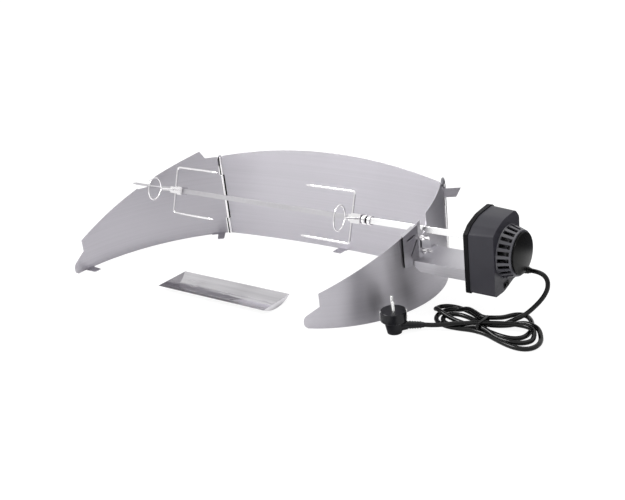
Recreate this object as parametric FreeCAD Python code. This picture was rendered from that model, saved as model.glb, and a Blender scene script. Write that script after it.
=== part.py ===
"""Kettle-grill rotisserie: a three-panel hinged steel collar, a motor-driven spit, forks and a drip tray.

Frame: origin on the floor midway between the two hinges and straight below the spit axis.
+X runs along the spit to the motor, +Y to the rear panel, +Z up. Lengths are in millimetres.
"""
import FreeCAD
import Part
import math
import os

V = FreeCAD.Vector
V2 = FreeCAD.Base.Vector2d

# ---- driving dimensions: collar ----
SHEET = 1.2                # thickness of the collar's stainless sheet
HINGE_SPAN = 500.0         # between the two hinge axes
HINGE_Y = 110.0            # hinge axes behind the spit axis
HINGE_TOP = 157.0          # top of the hinge knuckles
REAR_RADIUS = 1863.0       # plan radius of the rear panel
REAR_END_TOP = 159.5       # rear panel's height at its ends
REAR_MID_TOP = 181.0       # rear panel's height at its middle
REAR_TOP_ROUND = 1280.0
LEFT_KINK = 28.8           # degrees that the left wing turns in at its hinge
RIGHT_KINK = 50.1
LEFT_RADIUS = 323.3        # plan radius of the left wing
RIGHT_RADIUS = 184.8
WING_LENGTH = 302.0        # along the wing from its hinge to its upright end
WING_END_TOP = 58.0
WING_END_NOTCH = 36.5      # where the upright end meets the nose
NOSE_LENGTH = 330.0
NOSE_ROUND = 14.0
PEAK_AT = 38.0             # along the wing from its hinge
PEAK_TOP = 171.5
SHOULDER_AT = 29.0
TOP_BOW = 8.5              # lift of the top edge's middle above a straight line
TOP_ROUND = 1700.0
KNUCKLE_R = 4.0
PIN_R = 2.0
PIN_GAP = 0.05
KNUCKLE_LOW = 31.4         # height where the lowest knuckle ends
KNUCKLE_HIGH = 121.0       # height where the highest knuckle starts
KNUCKLE_GAP = 0.4
KNOB_HEIGHT = 11.0
TAB_TOP_LENGTH = 28.0      # lid-stop tab
TAB_FOOT_LENGTH = 20.0
TAB_TOP = 151.0
TAB_HEIGHT = 15.0
TAB_STRIP = 5.0            # the narrow part of a foot tab
REAR_TAB = (38.0, (25.0, 11.0), 34.0)       # a wing's rear foot tab: start, lobe and reach along the wing
FRONT_TAB = (288.0, (290.0, 306.0), 27.0)
PANEL_TAB = (-29.0, (-27.0, -9.0), 21.0)    # the rear panel's foot tab

# ---- driving dimensions: spit ----
SPIT_Z = 122.6
SPIT_ROLL = 20.0           # degrees that the spit is turned at rest
MAIN_SQUARE = 8.0
DRIVE_SQUARE = 10.0
JOURNAL_R = 2.5
SPIT_TIP_X = -390.0
JOURNAL_X = -300.0         # where the square bar ends and the journal starts
COLLAR_X0 = 166.2
COLLAR_X1 = 182.8
COLLAR_R = 8.0
COLLAR_WAIST_R = 6.0
SEAT_GAP = 0.05            # under the journal
NOTCH_R = 8.0
FORK_HALF = 42.5
PRONG_LENGTH = 102.0
WIRE_R = 2.0
WIRE_BEND = 5.0
LEFT_FORK_X = -266.5
RIGHT_FORK_X = 143.8
HUB_GAP = 0.05
LEFT_SLEEVE = 12.0
LEFT_BLOCK = 15.0
LEFT_BLOCK_LENGTH = 12.0
RIGHT_BLOCK = 16.0
LEFT_SCREW_OFFSET = 5.0    # thumb screw from its fork's bar
RIGHT_SCREW_OFFSET = 10.0
EYE_CENTRE = 49.0          # ring's centre from the spit axis
EYE_LENGTH = 31.0          # ring along the screw
EYE_WIDTH = 44.0
EYE_WIRE_R = 1.4
SCREW_R = 2.0

# ---- driving dimensions: bracket ----
LEG_THICK = 2.0
LEG_GAP = 0.3              # between the leg and the wing's outermost line
ARM_TOP = 82.0
ARM_Y0 = -32.0
ARM_Y1 = 34.0
ARM_FLANGE = 17.5
ARM_END_X = 371.0
BOLT_R = 2.5
BOLT_GAP = 0.1
BOLTS = ((-13.5, 114.0), (-8.0, 91.0))
NUT_SPAN_R = 8.5
BRACKET_TRAVEL = 3.0       # how far the lower slot lets the bracket rise
UPPER_SLOT = 15.0          # the upper slot's length
LEG_FOLD_Y = -20.0         # where the leg folds in towards the wing
LEG_FOLD = 17.3            # degrees
LEAF_WIDTH = 29.3          # of the folded leaf
LEG_LOW = 74.0
HOOK_NEAR = 6.0            # the hook's ends, along the leaf from the fold
HOOK_FAR = 27.0
HOOK_REACH = 4.4           # from the leaf to the hook's lip
HOOK_THICK = 1.5
HOOK_LIP = 8.0
TONGUE_TOP = 104.0
TONGUE_HALF = 20.0
TONGUE_THICK = 2.7

# ---- driving dimensions: motor ----
COVER_X = 374.0
BAND = 7.0
MOTOR_DEPTH = 45.0
WALL = 2.5
DRUM_Y = 5.0
DRUM_Z = 106.4
DRUM_BASE_R = 40.5
DRUM_RIM_R = 34.0
DRUM_DEPTH = 20.0
DRUM_RIBS = 22
DRUM_SLOT_HALF = 3.0
CAP_R = 31.4
CAP_RIM_X = 23.0           # the cap's edge, from the motor's face
CAP_DOME = 2.4
CAP_WALL = 2.2
SCREW_PLACES = ((-38.0, 60.0), (38.0, 68.0), (-38.0, 136.0), (37.0, 150.0))
COVER_SCREW_R = 1.6             # cover screws
HANGER_HALF = 27.0
HANGER_LOW = 86.0
HANGER_TOP = 108.0
HANGER_GAP = 0.3
ROCKER_Y = -6.0
ROCKER_Z = 58.5
ROCKER_W = 12.0
ROCKER_H = 7.0
TRUNNION_R = 0.9           # the rocker's pivot stubs
TRUNNION_GAP = 0.1
TRUNNION_DEEP = 0.8        # behind the motor's face
GLAND_LENGTH = 20.0
GLAND_ROOT_R = 6.2
GLAND_TIP_R = 4.2
EXIT_Y = 34.0
EXIT_Z = 67.5
GEAR_MODULE = 1.0
PINION_TEETH = 10
GEAR_TEETH = 24
GEAR_WIDTH = 6.0
SOCKET_R = 8.5
SOCKET_X0 = 372.0
SOCKET_GAP = 0.05
BAR_END_GAP = 1.0
BUSH_WALL = 2.5
CAN_R = 24.0
CAN_LENGTH = 32.0

# ---- driving dimensions: tray, cord and plug ----
TRAY_LENGTH = 241.0
TRAY_WIDTH = 68.0
TRAY_HEIGHT = 10.0
TRAY_SHEET = 0.8
TRAY_TURN = 1.0
TRAY_CENTRE = (-51.0, -126.0)
CORD_R = 3.5
HANK_HEIGHT = 14.2         # two cords and their slack
PLUG_CENTRE = (289.0, -112.0)
PLUG_R = 19.75
PLUG_TOP = 36.0
PLUG_RIM = 16.0
PLUG_PIN_R = 2.4
PLUG_PIN_LENGTH = 19.0
PLUG_PIN_PITCH = 19.0

# ---- worked out from the driving dimensions ----
HALF_SPAN = HINGE_SPAN / 2
SAGITTA = REAR_RADIUS - math.sqrt(REAR_RADIUS ** 2 - HALF_SPAN ** 2)
HALF_ANGLE = math.degrees(math.asin(HALF_SPAN / REAR_RADIUS))
FACE_X = COVER_X + MOTOR_DEPTH
GEAR_X = COVER_X + BAND + 3.0
PLATE_X = GEAR_X + GEAR_WIDTH + 3.0
CORD_X = FACE_X + GLAND_LENGTH
RIGHT_HEADING = math.radians(180 + HALF_ANGLE + RIGHT_KINK)
LEG_X = HALF_SPAN + (math.sin(RIGHT_HEADING) + 1) * RIGHT_RADIUS + SHEET / 2 + LEG_GAP
BORE_R = PIN_R + PIN_GAP
TANG = (BORE_R + KNUCKLE_R) / 2        # how near the hinge axis a leaf's edge reaches
RELIEF = KNUCKLE_R + 1.4               # how far it stays from the other leaf's knuckles


# ---- outlines and routes: (y, z, round), (x, y, round) and (x, y, z) ----
REAR_OUTLINE = [(-45.5, 51, 5), (-45.5, 143.6, 6), (-32, 154.6, 25), (-8, 163, 60), (32, 166, 14), (45, 152, 9),
                (45, 62, 6), (20, 58, 30), (-10, 51, 40)]
FACE_OUTLINE = [(-40, 50, 5), (-40, 144, 6), (-27, 152.5, 25), (-8, 159.5, 60), (29, 162, 12), (40.5, 149, 9),
                (40.5, 58, 6), (17, 58, 30), (-12, 49.5, 40)]
HANK_OUTLINE = [(300, -8, 12), (309, -46, 14), (332, -74, 18), (382, -82, 20), (404, -70, 10), (432, -84, 20),
                (468, -96, 16), (494, -90, 12), (506, -56, 22), (482, -2, 20), (450, 24, 10), (420, 18, 12),
                (402, -26, 12), (376, -14, 20), (342, -2, 16)]
SUPPLY_ROUTE = [(CORD_X, EXIT_Y, EXIT_Z), (453, EXIT_Y, EXIT_Z), (464, 34, 60), (467, 31.5, 47.5),
                (463.5, 27, 35.5), (457.5, 20.5, 25.5), (451, 11.5, 17.5), (446, 2, 12.6), (441.5, -8.5, 10.8)]
PLUG_ROUTE = [(362, -70, 10.6), (348, -77, 9), (335.5, -81.5, 7.6), (323, -84.5, 7)]
TIE_X = 401.0
TIE_BOX = (-65.0, -31.0)


# ---- plain helpers ----
def box(x0, y0, z0, x1, y1, z1):
    """A block between two corners."""
    return Part.makeBox(x1 - x0, y1 - y0, z1 - z0, V(x0, y0, z0))


def rod(start, end, radius):
    """A round bar between two points."""
    axis = V(*end) - V(*start)
    return Part.makeCylinder(radius, axis.Length, V(*start), axis)


def fuse(shapes):
    """One solid from touching pieces."""
    whole = shapes[0]
    for shape in shapes[1:]:
        whole = whole.fuse(shape)
    return whole.removeSplitter()


def save(name, shape):
    """Write one piece."""
    shape.exportStep("parts/" + name + ".step")
    print(name, len(shape.Solids), round(shape.Volume), shape.isValid())


def corner_points(before, here, after, radius):
    """Start, middle and end of the round that a corner gets, with the corner's tip and weight."""
    to_before = (before[0] - here[0], before[1] - here[1])
    to_after = (after[0] - here[0], after[1] - here[1])
    len_b = math.hypot(*to_before)
    len_a = math.hypot(*to_after)
    unit_b = (to_before[0] / len_b, to_before[1] / len_b)
    unit_a = (to_after[0] / len_a, to_after[1] / len_a)
    half = math.acos(max(-1.0, min(1.0, unit_b[0] * unit_a[0] + unit_b[1] * unit_a[1]))) / 2
    reach = radius / math.tan(half)
    start = (here[0] + unit_b[0] * reach, here[1] + unit_b[1] * reach)
    end = (here[0] + unit_a[0] * reach, here[1] + unit_a[1] * reach)
    bisector = (unit_b[0] + unit_a[0], unit_b[1] + unit_a[1])
    length = math.hypot(*bisector)
    to_centre = radius / math.sin(half)
    centre = (here[0] + bisector[0] / length * to_centre, here[1] + bisector[1] / length * to_centre)
    away = (here[0] - centre[0], here[1] - centre[1])
    scale = radius / math.hypot(*away)
    middle = (centre[0] + away[0] * scale, centre[1] + away[1] * scale)
    return start, middle, end, here[:2], math.sin(half)


def rounded_runs(corners):
    """Runs of a closed outline: ("line", a, b) and ("arc", a, middle, b, tip, weight), from (x, y, radius)."""
    rounds = []
    count = len(corners)
    for i in range(count):
        here = corners[i]
        if here[2] > 0:
            rounds.append(corner_points(corners[i - 1], here, corners[(i + 1) % count], here[2]))
        else:
            rounds.append((here[:2], None, here[:2]))
    runs = []
    for i in range(count):
        end = rounds[i][2]
        if rounds[i][1]:
            runs.append(("arc",) + rounds[i])
        follow = rounds[(i + 1) % count][0]
        if math.hypot(follow[0] - end[0], follow[1] - end[1]) > 1e-5:
            runs.append(("line", end, follow))
    return runs


def flat_face(corners, place):
    """A flat face from rounded corners; place turns a pair of numbers into a point."""
    edges = []
    for run in rounded_runs(corners):
        if run[0] == "line":
            edges.append(Part.makeLine(place(*run[1]), place(*run[2])))
        else:
            edges.append(Part.Arc(place(*run[1]), place(*run[2]), place(*run[3])).toShape())
    return Part.Face(Part.Wire(Part.__sortEdges__(edges)))


def plate_x(corners, x0, x1):
    """A plate with an outline of (y, z, radius) corners between two stations along X."""
    return flat_face(corners, lambda y, z: V(x0, y, z)).extrude(V(x1 - x0, 0, 0))


def plate_z(corners, z0, z1):
    """A plate with an outline of (x, y, radius) corners between two heights."""
    return flat_face(corners, lambda x, y: V(x, y, z0)).extrude(V(0, 0, z1 - z0))


class Roll:
    """An upright sheet rolled to one radius. A place on it is a length from its start and a height."""

    def __init__(self, centre, radius, start, turn):
        self.centre = centre
        self.radius = radius
        self.start = start
        self.turn = turn

    def angle(self, length):
        """Angle of a place around the roll's centre, in radians."""
        return self.start + self.turn * length / self.radius

    def point(self, length, outward=0.0):
        """Plan position of a place, moved outward from the sheet's middle."""
        angle = self.angle(length)
        reach = self.radius + outward
        return (self.centre[0] + reach * math.cos(angle), self.centre[1] + reach * math.sin(angle))

    def surface_edges(self, runs, radius):
        """The outline's edges on one face of the sheet."""
        surface = Part.Cylinder()
        surface.Radius = radius
        surface.Center = V(self.centre[0], self.centre[1], 0)
        edges = []
        for run in runs:
            if run[0] == "line":
                ends = [V2(self.angle(p[0]), p[1]) for p in run[1:]]
                edges.append(Part.Geom2d.Line2dSegment(*ends).toShape(surface))
            else:
                edges.append(self.round_edge(run, surface))
        return surface, edges

    def round_edge(self, run, surface):
        """A rounded corner on one face: a weighted curve on the corner's start, tip and end."""
        start, middle, end, tip, weight = run[1:]
        curve = Part.Geom2d.BezierCurve2d()
        curve.setPoles([V2(self.angle(p[0]), p[1]) for p in (start, tip, end)])
        curve.setWeight(2, weight)
        return curve.toShape(surface)

    def sheet(self, corners):
        """The rolled sheet inside an outline of (length, height, radius) corners."""
        runs = rounded_runs(corners)
        faces = []
        rims = []
        for radius in (self.radius - SHEET / 2, self.radius + SHEET / 2):
            surface, edges = self.surface_edges(runs, radius)
            face = Part.Face(surface, Part.Wire(edges))
            face.validate()
            faces.append(face)
            rims.append(edges)
        sides = [Part.makeRuledSurface(a, b) for a, b in zip(*rims)]
        shell = Part.Shell(faces + sides)
        shell.sewShape()
        solid = Part.Solid(shell)
        if solid.Volume < 0:
            solid.reverse()
        return solid


def wing_roll(side):
    """The left (-1) or right (+1) wing's roll, starting at its hinge axis."""
    kink = LEFT_KINK if side < 0 else RIGHT_KINK
    radius = LEFT_RADIUS if side < 0 else RIGHT_RADIUS
    heading = math.radians(180 + HALF_ANGLE + kink)
    centre_x = -HALF_SPAN - math.sin(heading) * radius
    centre_y = HINGE_Y + math.cos(heading) * radius
    start = heading - math.pi / 2
    if side < 0:
        return Roll((centre_x, centre_y), radius, start, 1)
    return Roll((-centre_x, centre_y), radius, math.pi - start, -1)


def rear_roll():
    """The rear panel's roll, starting at its middle and running to the left."""
    return Roll((0.0, HINGE_Y + SAGITTA - REAR_RADIUS), REAR_RADIUS, math.pi / 2, 1)


# ---- collar ----
def knuckle(side, bottom, top):
    """One rolled knuckle with its bore."""
    tube = Part.makeCylinder(KNUCKLE_R, top - bottom, V(side * HALF_SPAN, HINGE_Y, bottom))
    bore = Part.makeCylinder(BORE_R, top - bottom, V(side * HALF_SPAN, HINGE_Y, bottom))
    return tube.cut(bore)


def wing_top_tip():
    """The tip of the top edge's long round: its place along the wing and its height."""
    return (WING_LENGTH + PEAK_AT) / 2, (WING_END_TOP + PEAK_TOP) / 2 + TOP_BOW


def wing_outline():
    """A wing's blank: rounded nose, sloping top edge, peak and leaf for the middle knuckle."""
    low = KNUCKLE_LOW + KNUCKLE_GAP / 2
    high = KNUCKLE_HIGH - KNUCKLE_GAP / 2
    middle, tip = wing_top_tip()
    return [(RELIEF, 0, 0), (NOSE_LENGTH - 1, 0, 8), (NOSE_LENGTH, 17, NOSE_ROUND),
            (WING_LENGTH, WING_END_NOTCH, 1), (WING_LENGTH, WING_END_TOP, 3), (middle, tip, TOP_ROUND),
            (PEAK_AT, PEAK_TOP, 1), (SHOULDER_AT, HINGE_TOP, 1), (RELIEF, HINGE_TOP, 0),
            (RELIEF, high, 0), (TANG, high, 0), (TANG, low, 0), (RELIEF, low, 0)]


def lid_stop(roll):
    """The upright tab bent outward beside the hinge."""
    foot = roll.point(RELIEF + 0.3)
    ahead = roll.point(RELIEF + 0.3 + SHEET)
    out = roll.point(RELIEF + 0.3, 1.0)
    normal = V(out[0] - foot[0], out[1] - foot[1], 0)
    place = lambda reach, z: V(foot[0], foot[1], z) + normal * reach
    outline = [(0, TAB_TOP - TAB_HEIGHT, 0), (TAB_FOOT_LENGTH, TAB_TOP - TAB_HEIGHT, 2),
               (TAB_TOP_LENGTH, TAB_TOP, 2), (0, TAB_TOP, 0)]
    return flat_face(outline, place).extrude(V(ahead[0] - foot[0], ahead[1] - foot[1], 0))


def foot_tab(roll, start, lobe, reach):
    """A tab bent inward along the floor: a narrow strip from its start to a longer rounded lobe."""
    corners = [roll.point(start) + (0,), roll.point(start, -TAB_STRIP) + (1,),
               roll.point(lobe[0], -TAB_STRIP) + (0,), roll.point(lobe[0], -reach) + (3,),
               roll.point(lobe[1], -reach) + (3,), roll.point(lobe[1]) + (0,)]
    return plate_z(corners, 0, SHEET)


def make_wing(side):
    """A wing with its knuckle, lid stop, foot tabs and the seat or notch for the spit."""
    roll = wing_roll(side)
    low = KNUCKLE_LOW + KNUCKLE_GAP / 2
    high = KNUCKLE_HIGH - KNUCKLE_GAP / 2
    pieces = [roll.sheet(wing_outline()), knuckle(side, low, high), lid_stop(roll)]
    pieces.append(foot_tab(roll, *REAR_TAB))
    pieces.append(foot_tab(roll, *FRONT_TAB))
    wing = fuse(pieces)
    bore = Part.makeCylinder(BORE_R, HINGE_TOP, V(side * HALF_SPAN, HINGE_Y, 0))
    wing = wing.cut(bore)
    if side < 0:
        return wing.cut(left_seat())
    wing = wing.cut(right_notch())
    for y, z in BOLTS:
        wing = wing.cut(rod((LEG_X - 20, y, z), (LEG_X, y, z), BOLT_R + BOLT_GAP))
    return wing


def left_seat():
    """Room above the left seat: open to the front, with one wall on the hinge side."""
    floor = SPIT_Z - JOURNAL_R - SEAT_GAP
    return box(SPIT_TIP_X, -60, floor, JOURNAL_X - 20, JOURNAL_R + 1.5, PEAK_TOP)


def right_notch():
    """Room for the turning square bar in the right wing's top edge."""
    round_end = rod((LEG_X - 20, 0, SPIT_Z), (LEG_X + 5, 0, SPIT_Z), NOTCH_R)
    return round_end.fuse(box(LEG_X - 20, -NOTCH_R, SPIT_Z, LEG_X + 5, NOTCH_R, PEAK_TOP + 5))


def make_rear_panel():
    """The rear panel with the outer knuckles of both hinges and a foot tab."""
    roll = rear_roll()
    end = math.radians(HALF_ANGLE) * REAR_RADIUS
    near = end - TANG
    far = end - RELIEF
    low = KNUCKLE_LOW - KNUCKLE_GAP / 2
    high = KNUCKLE_HIGH + KNUCKLE_GAP / 2
    rise = REAR_MID_TOP - REAR_END_TOP
    left = [(near, HINGE_TOP, 0), (near, high, 0), (far, high, 0), (far, low, 0), (near, low, 0), (near, 0, 0)]
    right = [(-s, z, 0) for s, z, _ in reversed(left)]
    crown = [(-far, HINGE_TOP, 1), (-far + 3, REAR_END_TOP, 1), (0, REAR_MID_TOP + rise, REAR_TOP_ROUND),
             (far - 3, REAR_END_TOP, 1), (far, HINGE_TOP, 1)]
    pieces = [roll.sheet(right + crown + left)]
    for side in (-1, 1):
        pieces.append(knuckle(side, 0, low))
        pieces.append(knuckle(side, high, HINGE_TOP))
    pieces.append(foot_tab(roll, *PANEL_TAB))
    panel = fuse(pieces)
    for side in (-1, 1):
        panel = panel.cut(Part.makeCylinder(BORE_R, HINGE_TOP, V(side * HALF_SPAN, HINGE_Y, 0)))
    return panel


def make_hinge_pin(side, knob):
    """A removable pin that hangs on its head."""
    base = V(side * HALF_SPAN, HINGE_Y, 0.5)
    pin = Part.makeCylinder(PIN_R, HINGE_TOP - 0.5, base)
    top = V(side * HALF_SPAN, HINGE_Y, HINGE_TOP)
    head = Part.makeCone(3.6, 2.6, knob * 0.7, top)
    crown = Part.makeCone(2.6, 1.2, knob * 0.3, top + V(0, 0, knob * 0.7))
    return fuse([pin, head, crown])


# ---- spit, built along X at height zero and then rolled and lifted ----
def place_spit(shape):
    """Roll a spit piece to its rest turn and lift it to the spit axis."""
    turned = shape.copy()
    turned.rotate(V(0, 0, 0), V(1, 0, 0), -SPIT_ROLL)
    turned.translate(V(0, 0, SPIT_Z))
    return turned


def square_bar(x0, x1, side):
    """A square bar along X."""
    return box(x0, -side / 2, -side / 2, x1, side / 2, side / 2)


def make_main_bar():
    """The square bar with its round journal and point at the left."""
    bar = square_bar(JOURNAL_X, COLLAR_X0, MAIN_SQUARE)
    journal = rod((SPIT_TIP_X + 12, 0, 0), (JOURNAL_X, 0, 0), JOURNAL_R)
    point = Part.makeCone(0.5, JOURNAL_R, 12, V(SPIT_TIP_X, 0, 0), V(1, 0, 0))
    return place_spit(fuse([bar, journal, point]))


def make_spit_collar():
    """The turned collar with its waist between the two bars."""
    third = (COLLAR_X1 - COLLAR_X0) / 3
    outer = rod((COLLAR_X0, 0, 0), (COLLAR_X0 + third, 0, 0), COLLAR_R)
    waist = rod((COLLAR_X0 + third, 0, 0), (COLLAR_X1 - third, 0, 0), COLLAR_WAIST_R)
    inner = rod((COLLAR_X1 - third, 0, 0), (COLLAR_X1, 0, 0), COLLAR_R)
    return place_spit(fuse([outer, waist, inner]))


def drive_end():
    """Where the drive bar ends inside the motor's socket."""
    return SOCKET_X0 + 11.0


def make_drive_bar():
    """The square bar that the motor turns."""
    return place_spit(square_bar(COLLAR_X1, drive_end(), DRIVE_SQUARE))


def hub_bore(x0, x1):
    """Room for the main bar in a fork's hub."""
    return square_bar(x0, x1, MAIN_SQUARE + 2 * HUB_GAP)


def make_hub(side):
    """A fork's hub: a square sleeve and a heavier block."""
    if side < 0:
        x0 = LEFT_FORK_X - LEFT_SCREW_OFFSET - 4
        x1 = LEFT_FORK_X + 23.0
        hub = square_bar(x0, x1, LEFT_SLEEVE).fuse(square_bar(x1 - LEFT_BLOCK_LENGTH, x1, LEFT_BLOCK))
        hub = hub.cut(hub_bore(x0, x1))
    else:
        x0 = RIGHT_FORK_X - 4
        x1 = COLLAR_X0 - 1.9
        hub = square_bar(x0, x1, LEFT_SLEEVE).fuse(square_bar(RIGHT_FORK_X + 2.2, x1, RIGHT_BLOCK))
        hub = hub.cut(hub_bore(x0, x1))
    hub = hub.cut(screw_room(side))
    return place_spit(hub.removeSplitter())


def screw_x(side):
    """Where a thumb screw enters its hub."""
    if side < 0:
        return LEFT_FORK_X - LEFT_SCREW_OFFSET
    return RIGHT_FORK_X + RIGHT_SCREW_OFFSET


def screw_room(side):
    """The hub's hole for the thumb screw, through to the bar."""
    x = screw_x(side)
    return rod((x, 0, 0), (x, -RIGHT_BLOCK, 0), SCREW_R + PIN_GAP)


def make_fork(side):
    """Two bent prongs welded to the sleeve's faces."""
    x = LEFT_FORK_X if side < 0 else RIGHT_FORK_X
    point = x - side * PRONG_LENGTH
    legs = []
    for up in (-1, 1):
        z = up * FORK_HALF
        bend_x = x - side * WIRE_BEND
        leg = rod((x, 0, up * LEFT_SLEEVE / 2), (x, 0, z - up * WIRE_BEND), WIRE_R)
        centre = V(bend_x, 0, z - up * WIRE_BEND)
        disc = Part.Face(Part.Wire(Part.makeCircle(WIRE_R, V(x, 0, z - up * WIRE_BEND), V(0, 0, 1))))
        bend = disc.revolve(centre, V(0, 1, 0), -90 * side * up)
        prong = rod((bend_x, 0, z), (point + side * 14, 0, z), WIRE_R)
        tip = Part.makeCone(WIRE_R, 0.5, 14, V(point + side * 14, 0, z), V(-side, 0, 0))
        legs.append(fuse([leg, bend, prong, tip]))
    return place_spit(Part.makeCompound(legs))


def eye_path():
    """The ring's centreline: two straight ends from the neck and a round back, as (y, x) corners."""
    neck = EYE_CENTRE - EYE_LENGTH / 2
    back = EYE_CENTRE + EYE_LENGTH / 2 - EYE_WIRE_R
    half = EYE_WIDTH / 2 - EYE_WIRE_R
    return [(-neck, 0.0), (-(neck + 11), half), (-back + 3, half), (-back, half - 6)]


def make_thumb_screw(side):
    """An eye screw bent from wire, with a ring across the spit's direction."""
    x = screw_x(side)
    neck = EYE_CENTRE - EYE_LENGTH / 2
    inner = MAIN_SQUARE / 2 + HUB_GAP
    pieces = [rod((x, -inner, 0), (x, -neck - 1, 0), SCREW_R)]
    for up in (-1, 1):
        route = [(x, y, up * z) for y, z in eye_path()]
        route.append((x, route[-1][1], 0.0))
        for a, b in zip(route, route[1:]):
            pieces.append(rod(a, b, EYE_WIRE_R))
        for joint in route[1:-1]:
            pieces.append(Part.makeSphere(EYE_WIRE_R, V(*joint)))
    return place_spit(fuse(pieces))


# ---- motor bracket ----
def wing_top(length):
    """Height of a wing's top edge between its middle and its peak."""
    middle, tip = wing_top_tip()
    rear_slope = (PEAK_TOP - tip) / (middle - PEAK_AT)
    front_slope = (tip - WING_END_TOP) / (WING_LENGTH - middle)
    reach = TOP_ROUND * math.tan((math.atan(front_slope) - math.atan(rear_slope)) / 2)
    inside = max(0.0, reach - abs(middle - length) * math.hypot(1, rear_slope))
    slope = rear_slope if length < middle else front_slope
    return tip + (middle - length) * slope - inside ** 2 / (2 * TOP_ROUND)


def leaf_top(along):
    """Height of the leaf's top edge, a straight line just above the wing's sloping edge."""
    near = wing_top(135.6) + 0.6 + HOOK_THICK
    far = wing_top(164.5) + 0.6 + HOOK_THICK
    return near + (far - near) * along / LEAF_WIDTH


def leaf_plate(corners, inner, outer):
    """A plate on the folded leaf: (along, z, round) corners, from inner to outer off its inner face."""
    turn = math.radians(LEG_FOLD)
    along = V(-math.sin(turn), -math.cos(turn), 0)
    out = V(math.cos(turn), -math.sin(turn), 0)
    root = V(LEG_X, LEG_FOLD_Y, 0) + out * inner
    face = flat_face(corners, lambda t, z: root + along * t + V(0, 0, z))
    return face.extrude(out * (outer - inner))


def slanted_slot(start, end, half):
    """Corners of a slot with round ends between two (along, z) points."""
    way = ((end[0] - start[0]), (end[1] - start[1]))
    length = math.hypot(*way)
    unit = (way[0] / length * half, way[1] / length * half)
    corners = []
    for point, along, across in ((start, -1, -1), (end, 1, -1), (end, 1, 1), (start, -1, 1)):
        corners.append((point[0] + unit[0] * along - unit[1] * across,
                        point[1] + unit[1] * along + unit[0] * across, half * 0.9))
    return corners


def make_leaf():
    """The folded leaf with its hook over the wing's edge and its two slots."""
    leaf = leaf_plate([(0, LEG_LOW, 0), (LEAF_WIDTH, LEG_LOW, 3), (LEAF_WIDTH, leaf_top(LEAF_WIDTH), 1),
                       (0, leaf_top(0), 0)], 0, LEG_THICK)
    near = leaf_top(HOOK_NEAR)
    far = leaf_top(HOOK_FAR)
    back = -HOOK_REACH - HOOK_THICK
    flange = leaf_plate([(HOOK_NEAR, near - HOOK_THICK, 0), (HOOK_FAR, far - HOOK_THICK, 0), (HOOK_FAR, far, 0),
                         (HOOK_NEAR, near, 0)], back, 0.5)
    lip = leaf_plate([(HOOK_NEAR, near - HOOK_LIP, 2), (HOOK_FAR, far - HOOK_LIP, 2), (HOOK_FAR, far, 0),
                      (HOOK_NEAR, near, 0)], back, -HOOK_REACH)
    leaf = fuse([leaf, flange, lip])
    for start, end, half in (((7.5, 121.5), (21.0, 117.4), 1.5), ((3.0, 112.5), (15.0, 91.0), 0.8)):
        leaf = leaf.cut(leaf_plate(slanted_slot(start, end, half), -1, LEG_THICK + 1))
    return leaf


def make_bracket():
    """Leg with slots and a folded leaf, channel arm and upright tongue for the motor."""
    x0 = LEG_X
    x1 = LEG_X + LEG_THICK
    leg = plate_x([(LEG_FOLD_Y, LEG_LOW, 0), (ARM_Y1, LEG_LOW, 2), (ARM_Y1, 85, 1), (14, 87, 3), (12, 103, 4),
                   (2, 105, 3), (-2, 110.5, 3), (-8.3, 115, 4), (-9.6, 124, 4),
                   (LEG_FOLD_Y, leaf_top(0), 0)], x0, x1)
    end = ARM_END_X + TONGUE_THICK
    web = plate_z([(x0, ARM_Y0, 0), (end, ARM_Y0, 0), (end, ARM_Y1, 0),
                   (x0, ARM_Y1, 0)], ARM_TOP - LEG_THICK, ARM_TOP)
    flange = [(x0, ARM_TOP, 0), (x0, ARM_TOP - 9, 0), (x0 + 9, ARM_TOP - ARM_FLANGE, 8),
              (ARM_END_X, ARM_TOP - ARM_FLANGE, 2), (ARM_END_X, ARM_TOP, 0)]
    pieces = [leg, make_leaf(), fold_wedge(), web, tongue()]
    for y in (ARM_Y0, ARM_Y1 - LEG_THICK):
        face = flat_face(flange, lambda x, z: V(x, y, z))
        pieces.append(face.extrude(V(0, LEG_THICK, 0)))
    bracket = fuse(pieces)
    for (y, z), length in zip(BOLTS, (UPPER_SLOT, BRACKET_TRAVEL)):
        bracket = bracket.cut(slot_x(y, z - length, z))
    return bracket


def fold_wedge():
    """The round outside of the fold between the leg and its leaf."""
    turn = math.radians(LEG_FOLD)
    hinge = V(LEG_X, LEG_FOLD_Y, 0)
    straight = hinge + V(LEG_THICK, 0, 0)
    turned = hinge + V(math.cos(turn), -math.sin(turn), 0) * LEG_THICK
    middle = hinge + V(math.cos(turn / 2), -math.sin(turn / 2), 0) * LEG_THICK
    edges = [Part.makeLine(hinge, straight), Part.Arc(straight, middle, turned).toShape(),
             Part.makeLine(turned, hinge)]
    wedge = Part.Face(Part.Wire(edges)).extrude(V(0, 0, leaf_top(0) - LEG_LOW))
    wedge.translate(V(0, 0, LEG_LOW))
    return wedge


def slot_x(y, z0, z1, radius=BOLT_R + BOLT_GAP):
    """An upright slot through the leg."""
    x0 = LEG_X - 1
    x1 = LEG_X + LEG_THICK + 1
    body = box(x0, y - radius, z0, x1, y + radius, z1 + 0.001)
    return fuse([body, rod((x0, y, z0), (x1, y, z0), radius), rod((x0, y, z1), (x1, y, z1), radius)])


def tongue():
    """The arm's upright end that the motor hangs on."""
    low = ARM_TOP - LEG_THICK
    corners = [(-TONGUE_HALF, low, 0), (TONGUE_HALF, low, 0), (TONGUE_HALF, TONGUE_TOP, 4),
               (-TONGUE_HALF, TONGUE_TOP, 4)]
    return plate_x(corners, ARM_END_X, ARM_END_X + TONGUE_THICK)


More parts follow.
